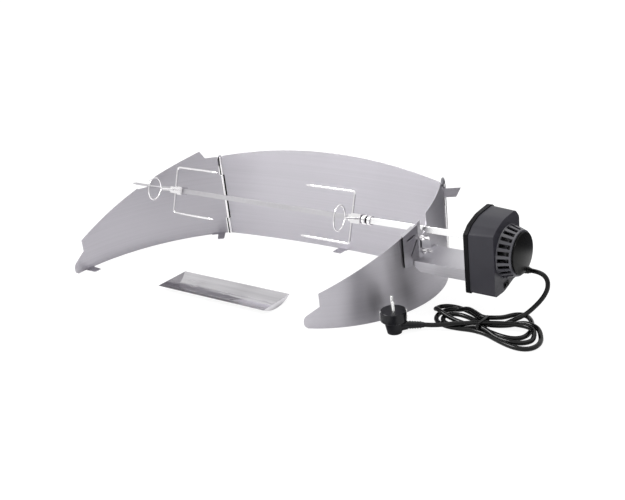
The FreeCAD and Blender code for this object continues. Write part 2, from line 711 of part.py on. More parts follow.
def make_bolts():
    """Carriage bolts through the wing and the bracket's slots."""
    bolts = []
    roll = wing_roll(1)
    for y, z in BOLTS:
        inner = wing_x(roll, y) - 3.0
        head = rod((inner - 2.2, y, z), (inner, y, z), 5.5)
        shank = rod((inner, y, z), (LEG_X + 17, y, z), BOLT_R)
        bolts.append(fuse([head, shank]))
    return Part.makeCompound(bolts)


def wing_x(roll, y):
    """X of the sheet's middle where the right wing crosses a given Y."""
    angle = math.asin((y - roll.centre[1]) / roll.radius)
    return roll.centre[0] + roll.radius * math.cos(angle)


def make_wing_nut(y, z):
    """A two-winged nut on a bracket bolt."""
    x0 = LEG_X + LEG_THICK + 0.3
    hub = Part.makeCone(4.6, 3.6, 6.0, V(x0, y, z), V(1, 0, 0))
    wings = nut_wing(x0, y, z, 1).fuse(nut_wing(x0, y, z, -1))
    bore = rod((x0 - 1, y, z), (x0 + 12, y, z), BOLT_R + 0.05)
    return hub.fuse(wings).cut(bore).removeSplitter()


def nut_wing(x0, y, z, side):
    """One raised wing of a wing nut."""
    outline = [(1.0, 2.9, 0), (5.5, 3.0, 0), (10, 5.2, 1.5), (10, NUT_SPAN_R, 1.5), (4, NUT_SPAN_R - 0.2, 2),
               (0.6, 4.4, 0)]
    return flat_face(outline, lambda a, b: V(x0 + a, y + side * b, z - 1)).extrude(V(0, 0, 2))


# ---- motor ----
def outline_wire(corners, x, inset=0.0):
    """A motor section as a wire; inset draws it in towards the section's middle."""
    mid_y = (max(c[0] for c in corners) + min(c[0] for c in corners)) / 2
    mid_z = (max(c[1] for c in corners) + min(c[1] for c in corners)) / 2
    half = (max(c[0] for c in corners) - min(c[0] for c in corners)) / 2
    share = 1 - inset / half
    drawn = [(mid_y + (y - mid_y) * share, mid_z + (z - mid_z) * share, r * share) for y, z, r in corners]
    return flat_face(drawn, lambda y, z: V(x, y, z)).OuterWire


def make_housing():
    """The tapering shell with its front wall, open at the back."""
    x0 = COVER_X + BAND
    outer = Part.makeLoft([outline_wire(REAR_OUTLINE, x0, 1.2), outline_wire(FACE_OUTLINE, FACE_X)], True, True)
    inner = Part.makeLoft([outline_wire(REAR_OUTLINE, x0, 1.2 + WALL),
                           outline_wire(FACE_OUTLINE, FACE_X - WALL, WALL)], True, True)
    shell = outer.cut(inner)
    window = rod((FACE_X - WALL - 1, DRUM_Y, DRUM_Z), (FACE_X + 1, DRUM_Y, DRUM_Z), DRUM_BASE_R - 6)
    shell = shell.cut(window)
    for y, z in SCREW_PLACES:
        boss = rod((x0, y, z), (x0 + 12, y, z), 4.5)
        shell = shell.fuse(boss.common(outer))
        shell = shell.cut(rod((x0, y, z), (x0 + 9, y, z), COVER_SCREW_R))
    shell = shell.cut(rocker_room(0.0, FACE_X - WALL - 1, FACE_X + 1))
    return shell.removeSplitter()


def make_rear_cover():
    """The black back cover with a raised band and the socket's opening."""
    x0 = COVER_X
    x1 = COVER_X + BAND
    outer = Part.Face(outline_wire(REAR_OUTLINE, x0)).extrude(V(BAND, 0, 0))
    inner = Part.Face(outline_wire(REAR_OUTLINE, x0 + WALL, 1.2 + WALL)).extrude(V(BAND, 0, 0))
    cover = outer.cut(inner)
    for y, z in SCREW_PLACES:
        cover = cover.fuse(rod((x0 + WALL, y, z), (x1, y, z), 4.5))
        cover = cover.cut(rod((x0 - 1, y, z), (x1 + 1, y, z), COVER_SCREW_R))
    cover = cover.cut(rod((x0 - 1, 0, SPIT_Z), (x1 + 1, 0, SPIT_Z), SOCKET_R + SOCKET_GAP + BUSH_WALL))
    return cover.removeSplitter()


def make_cover_screws():
    """Four self-tapping screws that hold the cover."""
    screws = []
    for y, z in SCREW_PLACES:
        head = Part.makeCone(2.2, 3.0, 1.4, V(COVER_X - 1.4, y, z), V(1, 0, 0))
        shank = rod((COVER_X, y, z), (COVER_X + BAND + 9, y, z), COVER_SCREW_R)
        screws.append(fuse([head, shank]))
    return Part.makeCompound(screws)


def make_hanger():
    """The pocket on the cover's back that drops over the bracket's tongue."""
    x_tongue = ARM_END_X - HANGER_GAP
    inner = TONGUE_HALF + HANGER_GAP
    strap = box(x_tongue - 1.7, -HANGER_HALF, HANGER_LOW, x_tongue, HANGER_HALF, HANGER_TOP - 8)
    near = box(x_tongue, -HANGER_HALF, HANGER_LOW, COVER_X, -inner, HANGER_TOP)
    far = box(x_tongue, inner, HANGER_LOW, COVER_X, HANGER_HALF, HANGER_TOP)
    top = box(x_tongue, -HANGER_HALF, TONGUE_TOP + 0.2, COVER_X, HANGER_HALF, HANGER_TOP)
    return fuse([strap, top, near, far])


def make_bush():
    """The plain bearing that the socket turns in."""
    outer = SOCKET_R + SOCKET_GAP + BUSH_WALL
    bush = rod((COVER_X, 0, SPIT_Z), (COVER_X + BAND + 1, 0, SPIT_Z), outer)
    return bush.cut(rod((COVER_X - 1, 0, SPIT_Z), (COVER_X + BAND + 2, 0, SPIT_Z), SOCKET_R + SOCKET_GAP))


def gear_blank(teeth, width, x0, y, z, phase):
    """A spur gear with straight-flanked teeth; phase turns a tooth's middle from straight up."""
    pitch_r = GEAR_MODULE * teeth / 2
    root_r = pitch_r - 1.15 * GEAR_MODULE
    tip_r = pitch_r + 0.8 * GEAR_MODULE
    step = 2 * math.pi / teeth
    points = []
    for i in range(teeth):
        middle = phase + i * step
        for radius, half in ((root_r, 0.27), (pitch_r, 0.20), (tip_r, 0.11)):
            points.append((radius, middle - half * step))
        for radius, half in ((tip_r, 0.11), (pitch_r, 0.20), (root_r, 0.27)):
            points.append((radius, middle + half * step))
    flat = [V(x0, y + r * math.sin(a), z + r * math.cos(a)) for r, a in points]
    return Part.Face(Part.makePolygon(flat + [flat[0]])).extrude(V(width, 0, 0))


def mesh_angle():
    """Direction from the output gear's axis to the pinion's axis, from straight up towards +Y."""
    return math.atan2(DRUM_Y, DRUM_Z - SPIT_Z)


def pinion_centre():
    """The pinion's axis: on the drum's line, at the gears' centre distance from the spit axis."""
    distance = GEAR_MODULE * (PINION_TEETH + GEAR_TEETH) / 2
    angle = mesh_angle()
    return (distance * math.sin(angle), SPIT_Z + distance * math.cos(angle))


def make_drive_socket():
    """Output gear with its square socket and its rear stub."""
    end = SOCKET_X0 + 12.0
    sleeve = rod((SOCKET_X0, 0, 0), (end + 2, 0, 0), SOCKET_R)
    gear = gear_blank(GEAR_TEETH, GEAR_WIDTH, GEAR_X, 0, 0, mesh_angle() + math.pi / GEAR_TEETH)
    stub = rod((end + 2, 0, 0), (GEAR_X + GEAR_WIDTH + 7, 0, 0), 4.0)
    socket = fuse([sleeve, gear, stub])
    hole = square_bar(SOCKET_X0 - 1, end, DRIVE_SQUARE + 2 * SOCKET_GAP)
    hole.rotate(V(0, 0, 0), V(1, 0, 0), -SPIT_ROLL)
    socket = socket.cut(hole)
    socket.translate(V(0, 0, SPIT_Z))
    return socket


def make_pinion():
    """The geared motor's output shaft with its pinion."""
    y, z = pinion_centre()
    pinion = gear_blank(PINION_TEETH, GEAR_WIDTH + 1, GEAR_X - 0.5, y, z, mesh_angle() + math.pi)
    shaft = rod((GEAR_X - 2, y, z), (PLATE_X + 4, y, z), 2.5)
    return fuse([pinion, shaft])


def make_gear_plate():
    """The plate that carries the gear motor, on four pillars from the cover."""
    plate = plate_x([(-30, 76, 5), (34, 76, 5), (34, 144, 5), (-30, 144, 5)], PLATE_X, PLATE_X + 2)
    pieces = [plate]
    for y, z in ((-25.0, 82.0), (29.0, 82.0), (-25.0, 138.0), (29.0, 138.0)):
        pieces.append(rod((COVER_X + WALL, y, z), (PLATE_X, y, z), 3))
    plate = fuse(pieces)
    y, z = pinion_centre()
    plate = plate.cut(rod((PLATE_X - 1, y, z), (PLATE_X + 3, y, z), 2.5 + 0.05))
    return plate.cut(rod((PLATE_X - 1, 0, SPIT_Z), (PLATE_X + 3, 0, SPIT_Z), 4.0 + 0.05))


def make_motor_can():
    """The closed geared motor, reaching into the drum."""
    y, z = pinion_centre()
    x0 = PLATE_X + 2
    can = rod((x0, DRUM_Y, DRUM_Z), (x0 + CAN_LENGTH, DRUM_Y, DRUM_Z), CAN_R)
    can = can.cut(rod((x0 - 1, y, z), (x0 + 3, y, z), 3.0))
    return can.cut(rod((x0 - 1, 0, SPIT_Z), (x0 + 2.5, 0, SPIT_Z), 5.0))


def make_drum():
    """The ribbed cone around the motor with a slot between each pair of ribs."""
    def cone(extra, x0, x1):
        slope = (DRUM_BASE_R - DRUM_RIM_R) / DRUM_DEPTH
        r0 = DRUM_BASE_R - slope * (x0 - FACE_X) + extra
        r1 = DRUM_BASE_R - slope * (x1 - FACE_X) + extra
        return Part.makeCone(r0, r1, x1 - x0, V(x0, DRUM_Y, DRUM_Z), V(1, 0, 0))
    end = FACE_X + DRUM_DEPTH
    drum = cone(0, FACE_X, end).cut(cone(-WALL, FACE_X - 1, end - 1.5))
    drum = drum.cut(rod((end - 3, DRUM_Y, DRUM_Z), (end + 1, DRUM_Y, DRUM_Z), CAP_R - 4))
    low = DRUM_Y - DRUM_SLOT_HALF
    high = DRUM_Y + DRUM_SLOT_HALF
    slots = []
    for i in range(DRUM_RIBS):
        slot = box(FACE_X + 1.5, low, DRUM_Z + CAP_R - 2.5, end - 2.5, high, DRUM_Z + 50)
        slot.rotate(V(0, DRUM_Y, DRUM_Z), V(1, 0, 0), (i + 0.5) * 360.0 / DRUM_RIBS)
        slots.append(slot)
    return drum.cut(Part.makeCompound(slots)).removeSplitter()


def make_cap():
    """The domed cap on the drum's rim, hollow behind."""
    start = FACE_X + DRUM_DEPTH
    rim = FACE_X + CAP_RIM_X

    def dome(radius, x0, x1, crown):
        ball_r = (radius ** 2 + crown ** 2) / (2 * crown)
        rim_angle = math.degrees(math.asin((ball_r - crown) / ball_r))
        ball = Part.makeSphere(ball_r, V(x1 + crown - ball_r, 0, 0), V(1, 0, 0), rim_angle, 90, 360)
        return rod((x0, 0, 0), (x1, 0, 0), radius).fuse(ball)
    hollow = dome(CAP_R - CAP_WALL, start - 1, rim - CAP_WALL / 2, CAP_DOME)
    cap = dome(CAP_R, start, rim, CAP_DOME).cut(hollow)
    cap.translate(V(0, DRUM_Y, DRUM_Z))
    return cap.removeSplitter()


def rocker_room(extra, x0, x1):
    """The switch's opening in the front wall."""
    y = ROCKER_W / 2 + extra
    z = ROCKER_H / 2 + extra
    return box(x0, ROCKER_Y - y, ROCKER_Z - z, x1, ROCKER_Y + y, ROCKER_Z + z)


def trunnions(radius, reach):
    """The rocker's pivot, an upright rod that sticks out by the reach at both ends."""
    x = FACE_X - TRUNNION_DEEP
    half = ROCKER_H / 2 - 1.3 + reach
    return rod((x, ROCKER_Y, ROCKER_Z - half), (x, ROCKER_Y, ROCKER_Z + half), radius)


def make_rocker_frame():
    """The switch's rim and body, with the pivot's two holes."""
    rim = rocker_room(1.0, FACE_X, FACE_X + 0.8).fuse(rocker_room(0.0, FACE_X - WALL, FACE_X))
    rim = rim.cut(rocker_room(-1.0, FACE_X - WALL - 1, FACE_X + 1))
    return rim.cut(trunnions(TRUNNION_R + TRUNNION_GAP, 1.0)).removeSplitter()


def make_rocker():
    """The rocker, a wedge that tilts about its upright pivot."""
    y0 = ROCKER_Y - ROCKER_W / 2 + 1.4
    y1 = ROCKER_Y + ROCKER_W / 2 - 1.4
    z0 = ROCKER_Z - ROCKER_H / 2 + 1.3
    z1 = ROCKER_Z + ROCKER_H / 2 - 1.3
    outline = [(FACE_X - 1.5, y0 + 0.6, 0), (FACE_X + 2.4, y0 + 0.4, 0.4), (FACE_X + 1.2, ROCKER_Y, 6),
               (FACE_X + 2.4, y1 - 0.4, 0.4), (FACE_X - 1.5, y1 - 0.6, 0), (FACE_X - 4, ROCKER_Y, 0)]
    wedge = flat_face(outline, lambda x, y: V(x, y, z0)).extrude(V(0, 0, z1 - z0))
    return fuse([wedge, trunnions(TRUNNION_R, 0.8)])


# ---- drip tray ----
def tray_place(shape):
    """Turn the tray to its resting place on the floor."""
    moved = shape.copy()
    moved.rotate(V(0, 0, 0), V(0, 0, 1), TRAY_TURN)
    moved.translate(V(TRAY_CENTRE[0], TRAY_CENTRE[1], 0))
    return moved


def make_tray():
    """A shallow rolled trough with closed ends."""
    half = TRAY_WIDTH / 2
    radius = (half ** 2 + TRAY_HEIGHT ** 2) / (2 * TRAY_HEIGHT)
    x0 = -TRAY_LENGTH / 2

    def segment(shrink):
        top = TRAY_HEIGHT + (10 if shrink else 0)
        reach = math.sqrt(max((radius - shrink) ** 2 - (radius - TRAY_HEIGHT) ** 2, 0))
        left = V(x0, -reach, TRAY_HEIGHT)
        right = V(x0, reach, TRAY_HEIGHT)
        arc = Part.Arc(left, V(x0, 0, shrink), right).toShape()
        lid = Part.makeLine(right, left)
        if shrink:
            lid = Part.makePolygon([right, V(x0, reach, top), V(x0, -reach, top), left])
        return Part.Face(Part.Wire([arc] + lid.Edges))
    solid = segment(0).extrude(V(TRAY_LENGTH, 0, 0))
    hollow = segment(TRAY_SHEET).extrude(V(TRAY_LENGTH - 2 * TRAY_SHEET, 0, 0))
    hollow.translate(V(TRAY_SHEET, 0, 0))
    return tray_place(solid.cut(hollow))


# ---- cord and plug ----
def tube(route, radius):
    """A cord's tube: straight runs joined by tangent arcs."""
    points = [V(*p) for p in route]
    edges = []
    start = points[0]
    for before, here, after in zip(points, points[1:], points[2:]):
        back = before - here
        ahead = after - here
        half = back.getAngle(ahead) / 2
        reach = 0.49 * min(back.Length, ahead.Length)
        a = here + back.normalize() * reach
        b = here + ahead.normalize() * reach
        depth = reach / math.cos(half) - reach * math.tan(half)
        middle = here + (back + ahead).normalize() * depth
        edges.append(Part.makeLine(start, a))
        edges.append(Part.Arc(a, middle, b).toShape())
        start = b
    edges.append(Part.makeLine(start, points[-1]))
    wire = Part.Wire(edges)
    print("  route", round(wire.Length), "mm")
    ring = Part.Wire(Part.makeCircle(radius, points[0], points[1] - points[0]))
    return wire.makePipeShell([ring], True, False)


def make_hank():
    """The tied bundle of the cord's spare length, as one closed block."""
    hank = plate_z(HANK_OUTLINE, 0, HANK_HEIGHT).cut(make_tie())
    for route in (SUPPLY_ROUTE, PLUG_ROUTE):
        hank = hank.cut(tube(route, CORD_R))
    return max(hank.Solids, key=lambda solid: solid.Volume)


def make_tie():
    """A flat wire tie around the waist."""
    y0, y1 = TIE_BOX
    outer = box(TIE_X - 2, y0, 0, TIE_X + 2, y1, HANK_HEIGHT + 1.2)
    return outer.cut(box(TIE_X - 3, y0 + 1.5, 1.2, TIE_X + 3, y1 - 1.5, HANK_HEIGHT - 0.3))


def make_gland():
    """The ribbed, tapering strain relief on the motor's front face."""
    start = V(FACE_X, EXIT_Y, EXIT_Z)
    return ribbed_sleeve(start, V(GLAND_LENGTH, 0, 0), GLAND_ROOT_R, GLAND_TIP_R, 5)


def ribbed_sleeve(start, axis, root_r, tip_r, count):
    """A cone with rings around it that shrink with it."""
    pieces = [Part.makeCone(root_r, tip_r, axis.Length, start, axis)]
    for i in range(count):
        share = 0.1 + 0.8 * i / count
        radius = root_r + (tip_r - root_r) * share + 0.8
        pieces.append(Part.makeCylinder(radius, axis.Length * 0.08, start + axis * share, axis))
    return fuse(pieces)


def plug_direction():
    """Unit direction from the plug's middle to where its cord comes in."""
    return V(0.775, 0.632, 0)


def plug_pin_place(side):
    """Plan position of a pin; the pins' line runs across the cord."""
    way = plug_direction()
    reach = side * PLUG_PIN_PITCH / 2
    return PLUG_CENTRE[0] - way.y * reach, PLUG_CENTRE[1] + way.x * reach


def make_plug_body():
    """Round face plate, tapering grip below it and the boss for the cord."""
    x, y = PLUG_CENTRE
    face = Part.makeCylinder(PLUG_R, PLUG_RIM, V(x, y, PLUG_TOP - PLUG_RIM))
    face = face.makeChamfer(1.0, [face.Edges[0], face.Edges[2]])
    grip = Part.makeCone(11.0, 15.0, PLUG_TOP - PLUG_RIM + 0.5, V(x, y, 0), V(0, 0, 1))
    way = plug_direction()
    boss = Part.makeCone(9.0, 6.5, 20.0, V(x, y, 9.5), way)
    boss = boss.common(box(x - 60, y - 60, 0, x + 60, y + 60, 60))
    body = fuse([face, grip, boss])
    for side in (-1, 1):
        px, py = plug_pin_place(side)
        body = body.cut(Part.makeCylinder(PLUG_PIN_R, 8, V(px, py, PLUG_TOP - 8)))
    for side in (-1, 1):
        body = body.cut(clip_block(side))
    return body


def clip_block(side):
    """One earth clip, a strip let into the side of the face."""
    x, y = PLUG_CENTRE
    strip = box(-3, PLUG_R - 1.6, PLUG_TOP - 12, 3, PLUG_R + 0.6, PLUG_TOP + 0.5)
    strip.rotate(V(0, 0, 0), V(0, 0, 1), -50.8 + (0 if side > 0 else 180))
    strip.translate(V(x, y, 0))
    return strip


def make_plug_pins():
    """The two round pins."""
    pins = []
    for side in (-1, 1):
        px, py = plug_pin_place(side)
        shank = Part.makeCylinder(PLUG_PIN_R, 8 + PLUG_PIN_LENGTH - 1, V(px, py, PLUG_TOP - 8))
        tip = Part.makeCone(PLUG_PIN_R, PLUG_PIN_R - 0.8, 1, V(px, py, PLUG_TOP + PLUG_PIN_LENGTH - 1))
        pins.append(shank.fuse(tip).removeSplitter())
    return Part.makeCompound(pins)


def make_strain_relief():
    """The ribbed sleeve where the cord enters the plug."""
    x, y = PLUG_CENTRE
    start = V(x, y, 9.5) + plug_direction() * 20.0
    axis = V(*PLUG_ROUTE[-1]) - start
    relief = ribbed_sleeve(start, axis, 5.4, 4.2, 5).cut(make_plug_body())
    return relief.cut(tube(PLUG_ROUTE, CORD_R))


def main():
    """Build every piece and write it."""
    os.makedirs("parts", exist_ok=True)
    save("rear_panel", make_rear_panel())
    save("left_wing", make_wing(-1))
    save("right_wing", make_wing(1))
    save("left_hinge_pin", make_hinge_pin(-1, 2.5))
    save("right_hinge_pin", make_hinge_pin(1, KNOB_HEIGHT))
    save("spit_main_bar", make_main_bar())
    save("spit_collar", make_spit_collar())
    save("spit_drive_bar", make_drive_bar())
    for side, name in ((-1, "left"), (1, "right")):
        save(name + "_fork", make_fork(side))
        save(name + "_fork_hub", make_hub(side))
        save(name + "_thumb_screw", make_thumb_screw(side))
    save("motor_bracket", make_bracket())
    save("bracket_bolts", make_bolts())
    save("upper_wing_nut", make_wing_nut(*BOLTS[0]))
    save("lower_wing_nut", make_wing_nut(*BOLTS[1]))
    save("motor_rear_cover", make_rear_cover())
    save("motor_housing", make_housing())
    save("vent_drum", make_drum())
    save("drum_cap", make_cap())
    save("cover_screws", make_cover_screws())
    save("motor_hanger", make_hanger())
    save("socket_bush", make_bush())
    save("drive_socket", make_drive_socket())
    save("motor_pinion", make_pinion())
    save("gear_plate", make_gear_plate())
    save("geared_motor", make_motor_can())
    save("rocker_frame", make_rocker_frame())
    save("rocker_switch", make_rocker())
    save("cable_gland", make_gland())
    save("drip_tray", make_tray())
    save("supply_cord", tube(SUPPLY_ROUTE, CORD_R))
    save("cord_hank", make_hank())
    save("cable_tie", make_tie())
    save("plug_lead", tube(PLUG_ROUTE, CORD_R))
    save("plug_body", make_plug_body())
    save("plug_pins", make_plug_pins())
    save("plug_earth_clips", Part.makeCompound([clip_block(-1), clip_block(1)]))
    save("plug_strain_relief", make_strain_relief())


main()
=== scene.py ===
"""Kettle-grill rotisserie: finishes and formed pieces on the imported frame.

Metres, +X along the spit to the motor, +Y to the rear panel, +Z up. Every sub-assembly is a class whose
fields are its sizes. Sheets are grids over a length and a height; wires are profiles carried along a path.
"""
from __future__ import annotations

import logging
import math
from collections.abc import Callable
from dataclasses import dataclass
from dataclasses import field
from enum import Enum

import bmesh
import bpy
import numpy as np
from mathutils import Matrix
from mathutils import Vector


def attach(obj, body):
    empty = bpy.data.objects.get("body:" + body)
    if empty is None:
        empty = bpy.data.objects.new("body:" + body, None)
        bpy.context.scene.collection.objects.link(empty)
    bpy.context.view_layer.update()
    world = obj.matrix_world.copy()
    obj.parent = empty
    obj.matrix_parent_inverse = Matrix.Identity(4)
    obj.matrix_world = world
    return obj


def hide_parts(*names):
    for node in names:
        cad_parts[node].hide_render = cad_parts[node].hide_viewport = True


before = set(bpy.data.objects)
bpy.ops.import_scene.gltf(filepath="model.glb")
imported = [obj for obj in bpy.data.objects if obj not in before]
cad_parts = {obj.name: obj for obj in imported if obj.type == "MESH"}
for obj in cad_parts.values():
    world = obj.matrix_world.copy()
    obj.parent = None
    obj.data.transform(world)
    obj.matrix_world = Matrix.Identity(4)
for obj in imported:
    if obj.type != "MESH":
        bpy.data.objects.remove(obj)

LOG = logging.getLogger("rotisserie")
MM = 0.001
SHEET = 1.2 * MM              # thickness of the collar's sheets
SHEET_ROWS = 9                # points from the bottom to the top edge of a sheet
CUT_EDGE = 0.25 * MM          # round on the sheets' cut edges
HALF_SPAN = 250.0 * MM        # from the middle to each hinge axis
HINGE_Y = 110.0 * MM
HINGE_TOP = 157.0 * MM
REAR_RADIUS = 1863.0 * MM
KNUCKLE_R = 4.0 * MM
KNUCKLE_BORE_R = 2.05 * MM
KNUCKLE_EASE = 0.3 * MM
# inner limit of the painted seam shade: the bore's faces stay unpainted
SEAM_SHADE_INNER_R = 3.2 * MM
LEAF_START = 3.1 * MM         # where a knuckle's leaf begins, from the hinge axis
RELIEF = 5.4 * MM             # how far a sheet stays from the other sheet's knuckles
SPIT_Z = 122.6 * MM
SPIT_ROLL = math.radians(20.0)
LEAF_SHADE_Y = -45 * MM         # the bracket leaf end's painted shadow gap: faces in front of this, and facing forward this much, are dark
LEAF_SHADE_FACING = -0.8
WELD = 2e-6                   # points nearer than this are one point
CAD_WELD = 5e-6
CAD_FLAT = math.radians(0.4)  # CAD faces that meet at less than this are one face
CAD_SHARP = 30.0              # degrees above which a CAD copy's edge stays sharp

Array = np.ndarray
Number = float | Array
Pair = tuple[float, float]
Triple = tuple[float, float, float]
Shape = tuple[Array, Array | list]
Obj = bpy.types.Object
Face = bpy.types.MeshPolygon
Node = bpy.types.Node
Socket = bpy.types.NodeSocket


class Side(Enum):
    """Which end of the collar a piece is on."""

    LEFT = -1
    RIGHT = 1

    @property
    def word(self) -> str:
        """The side's name in piece names."""
        return self.name.lower()


# ---- mesh helpers
def linked(name: str, data: bpy.types.ID) -> Obj:
    """A new object on some data, in the scene."""
    obj = bpy.data.objects.new(name, data)
    bpy.context.scene.collection.objects.link(obj)
    return obj


def shade(obj: Obj, sharp: float) -> None:
    """Smooth shading with edges above an angle kept sharp."""
    mesh = obj.data
    mesh.polygons.foreach_set("use_smooth", np.ones(len(mesh.polygons), bool))
    mesh.set_sharp_from_angle(angle=math.radians(sharp))


def bevel(obj: Obj, width: float, segments: int, angle: float = 35.0) -> None:
    """Rounds an object's sharp edges by a live modifier."""
    mod = obj.modifiers.new("edge", "BEVEL")
    mod.width = width
    mod.segments = segments
    mod.limit_method = "ANGLE"
    mod.angle_limit = math.radians(angle)
    mod.harden_normals = True


def grid_quads(rows: int, cols: int, start: int = 0, wrap: bool = False) -> Array:
    """Quads of a grid whose points are numbered row by row; wrap joins the last column to the first."""
    i = np.arange(rows - 1)[:, None]
    j = np.arange(cols if wrap else cols - 1)[None, :]
    right = (j + 1) % cols
    quads = np.stack([i * cols + j, i * cols + right, (i + 1) * cols + right, (i + 1) * cols + j], axis=-1)
    return quads.reshape(-1, 4) + start


def thick_sheet(mid: Array, normal: Array, thickness: float) -> Shape:
    """Closes a sheet around a middle surface: middle plus or minus half the thickness along the normal.

    Args:
        mid: Middle surface, shape (rows, cols, 3).
        normal: Unit normals of the same shape.
        thickness: Sheet thickness.

    Returns:
        Points and quads of both faces and the rim.
    """
    rows, cols = mid.shape[:2]
    half = normal * thickness / 2
    verts = np.concatenate([(mid + half).reshape(-1, 3), (mid - half).reshape(-1, 3)])
    count = rows * cols
    number = np.arange(count).reshape(rows, cols)
    loop = np.concatenate([number[0, :], number[1:, -1], number[-1, -2::-1], number[-2:0:-1, 0]])
    follow = np.roll(loop, -1)
    rim = np.stack([loop, follow, follow + count, loop + count], axis=-1)
    return verts, np.concatenate([grid_quads(rows, cols), grid_quads(rows, cols, count)[:, ::-1], rim])


def join(parts: list[Shape]) -> Shape:
    """One set of points and faces from several."""
    verts: list[Array] = []
    faces: list = []
    total = 0
    for points, quads in parts:
        verts.append(points.reshape(-1, 3))
        faces.extend([[int(i) + total for i in quad] for quad in quads])
        total += len(verts[-1])
    return np.concatenate(verts), faces


def sweep(path: Array, radii: Array, plane: Triple, sides: int = 16) -> Shape:
    """Carries a circle along a path that lies in one plane: point = path + r (cos t n + sin t b).

    Args:
        path: Centreline, shape (n, 3).
        radii: Radius at each point.
        plane: Unit normal of the path's plane, which is b.
        sides: Points round the circle.

    Returns:
        Points and faces, with end caps.
    """
    tangent = np.gradient(path, axis=0)
    tangent /= np.linalg.norm(tangent, axis=1, keepdims=True)
    side = np.array(plane)[None, :]
    across = np.cross(side, tangent)
    turn = np.linspace(0, 2 * math.pi, sides, endpoint=False)[None, :, None]
    ring = across[:, None, :] * np.cos(turn) + side[:, None, :] * np.sin(turn)
    verts = path[:, None, :] + ring * radii[:, None, None]
    count = len(path)
    quads = grid_quads(count, sides, wrap=True).tolist()
    quads.append(list(range(sides))[::-1])
    quads.append(list(range((count - 1) * sides, count * sides)))
    return verts.reshape(-1, 3), quads


def rounded_path(corners: list[Triple], radius: float, steps: int, closed: bool = False) -> Array:
    """Straight runs with round bends: each bend is a rational quadratic curve between its tangent points.

    The middle weight is the sine of half the corner's angle, which makes the curve a circle's arc.

    Args:
        corners: Corner points.
        radius: Bend radius.
        steps: Points on each bend.
        closed: Whether the last corner joins the first.

    Returns:
        Points of the centreline.
    """
    points = np.array(corners, float)
    inward = np.roll(points, 1, axis=0) - points
    outward = np.roll(points, -1, axis=0) - points
    len_in = np.linalg.norm(inward, axis=1, keepdims=True)
    len_out = np.linalg.norm(outward, axis=1, keepdims=True)
    unit_in = inward / len_in
    unit_out = outward / len_out
    half = np.arccos(np.clip((unit_in * unit_out).sum(1, keepdims=True), -1, 1)) / 2
    room = 0.48 * np.minimum(len_in, len_out)
    reach = np.minimum(radius / np.tan(half), room)
    t = np.linspace(0, 1, steps)[None, :, None]
    start = (points + unit_in * reach)[:, None, :]
    tip = points[:, None, :]
    end = (points + unit_out * reach)[:, None, :]
    weight = np.sin(half)[:, None, :]
    scale = (1 - t) ** 2 + 2 * weight * t * (1 - t) + t ** 2
    bends = ((1 - t) ** 2 * start + 2 * weight * t * (1 - t) * tip + t ** 2 * end) / scale
    if closed:
        return bends.reshape(-1, 3)
    return np.concatenate([points[:1], bends[1:-1].reshape(-1, 3), points[-1:]])


def revolve(profile: Array, centre: Triple, axis: str, sides: int) -> Shape:
    """Turns a profile of (along, radius) pairs about an axis through a centre.

    Args:
        profile: Pairs, shape (n, 2); a closed outline repeats its first pair.
        centre: A point on the axis.
        axis: "X" or "Z".
        sides: Points round the axis.

    Returns:
        Points and quads.
    """
    turn = np.linspace(0, 2 * math.pi, sides, endpoint=False)[None, :]
    along = np.repeat(profile[:, :1], sides, axis=1)
    one = profile[:, 1:] * np.cos(turn)
    two = profile[:, 1:] * np.sin(turn)
    order = (along, one, two) if axis == "X" else (one, two, along)
    verts = np.stack(order, axis=-1) + np.array(centre)
    return verts.reshape(-1, 3), grid_quads(len(profile), sides, wrap=True)


def plate(outline: Array, low: float, high: float) -> Shape:
    """A flat plate between two heights, its outline given as plan points."""
    count = len(outline)
    top = np.column_stack([outline, np.full(count, high)])
    base = np.column_stack([outline, np.full(count, low)])
    sides = [[k, (k + 1) % count, (k + 1) % count + count, k + count] for k in range(count)]
    return np.concatenate([top, base]), [list(range(count)), list(range(count, 2 * count))[::-1]] + sides


def place_spit(shape: Shape) -> Shape:
    """Rolls a shape built on the X axis to the spit's rest turn and lifts it to the spit's height."""
    c = math.cos(SPIT_ROLL)
    s = math.sin(SPIT_ROLL)
    turned = shape[0] @ np.array([[1, 0, 0], [0, c, -s], [0, s, c]])
    return turned + np.array([0, 0, SPIT_Z]), shape[1]


def finish_piece(obj: Obj, body: str, finish: Finish) -> Obj:
    """Gives a piece its material and its body, and reports it."""
    obj.data.materials.clear()
    obj.data.materials.append(finish.material())
    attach(obj, body)
    LOG.info("%s on %s", obj.name, body)
    return obj


def make_piece(name: str, shape: Shape, body: str, finish: Finish, node: str = "",
               sharp: float = 35.0, rounded: tuple[float, ...] = ()) -> Obj:
    """Makes a closed, merged, smooth-shaded piece from points and faces.

    Args:
        name: Piece name.
        shape: Its points in metres, and its faces.
        body: The moving body that it rides on.
        finish: Its finish.
        node: The CAD node that it stands for, if any.
        sharp: Angle in degrees above which an edge stays sharp.
        rounded: Width, segments and angle of its edge round, if any.

    Returns:
        The piece, at the origin.
    """
    mesh = bpy.data.meshes.new(name)
    mesh.from_pydata(shape[0].reshape(-1, 3).tolist(), [], [tuple(int(i) for i in f) for f in shape[1]])
    work = bmesh.new()
    work.from_mesh(mesh)
    bmesh.ops.remove_doubles(work, verts=work.verts, dist=WELD)
    bmesh.ops.dissolve_degenerate(work, edges=work.edges, dist=WELD / 2)
    bmesh.ops.recalc_face_normals(work, faces=work.faces)
    work.to_mesh(mesh)
    work.free()
    obj = linked(name, mesh)
    shade(obj, sharp)
    if rounded:
        bevel(obj, *rounded)
    if node:
        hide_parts(node)
    return finish_piece(obj, body, finish)


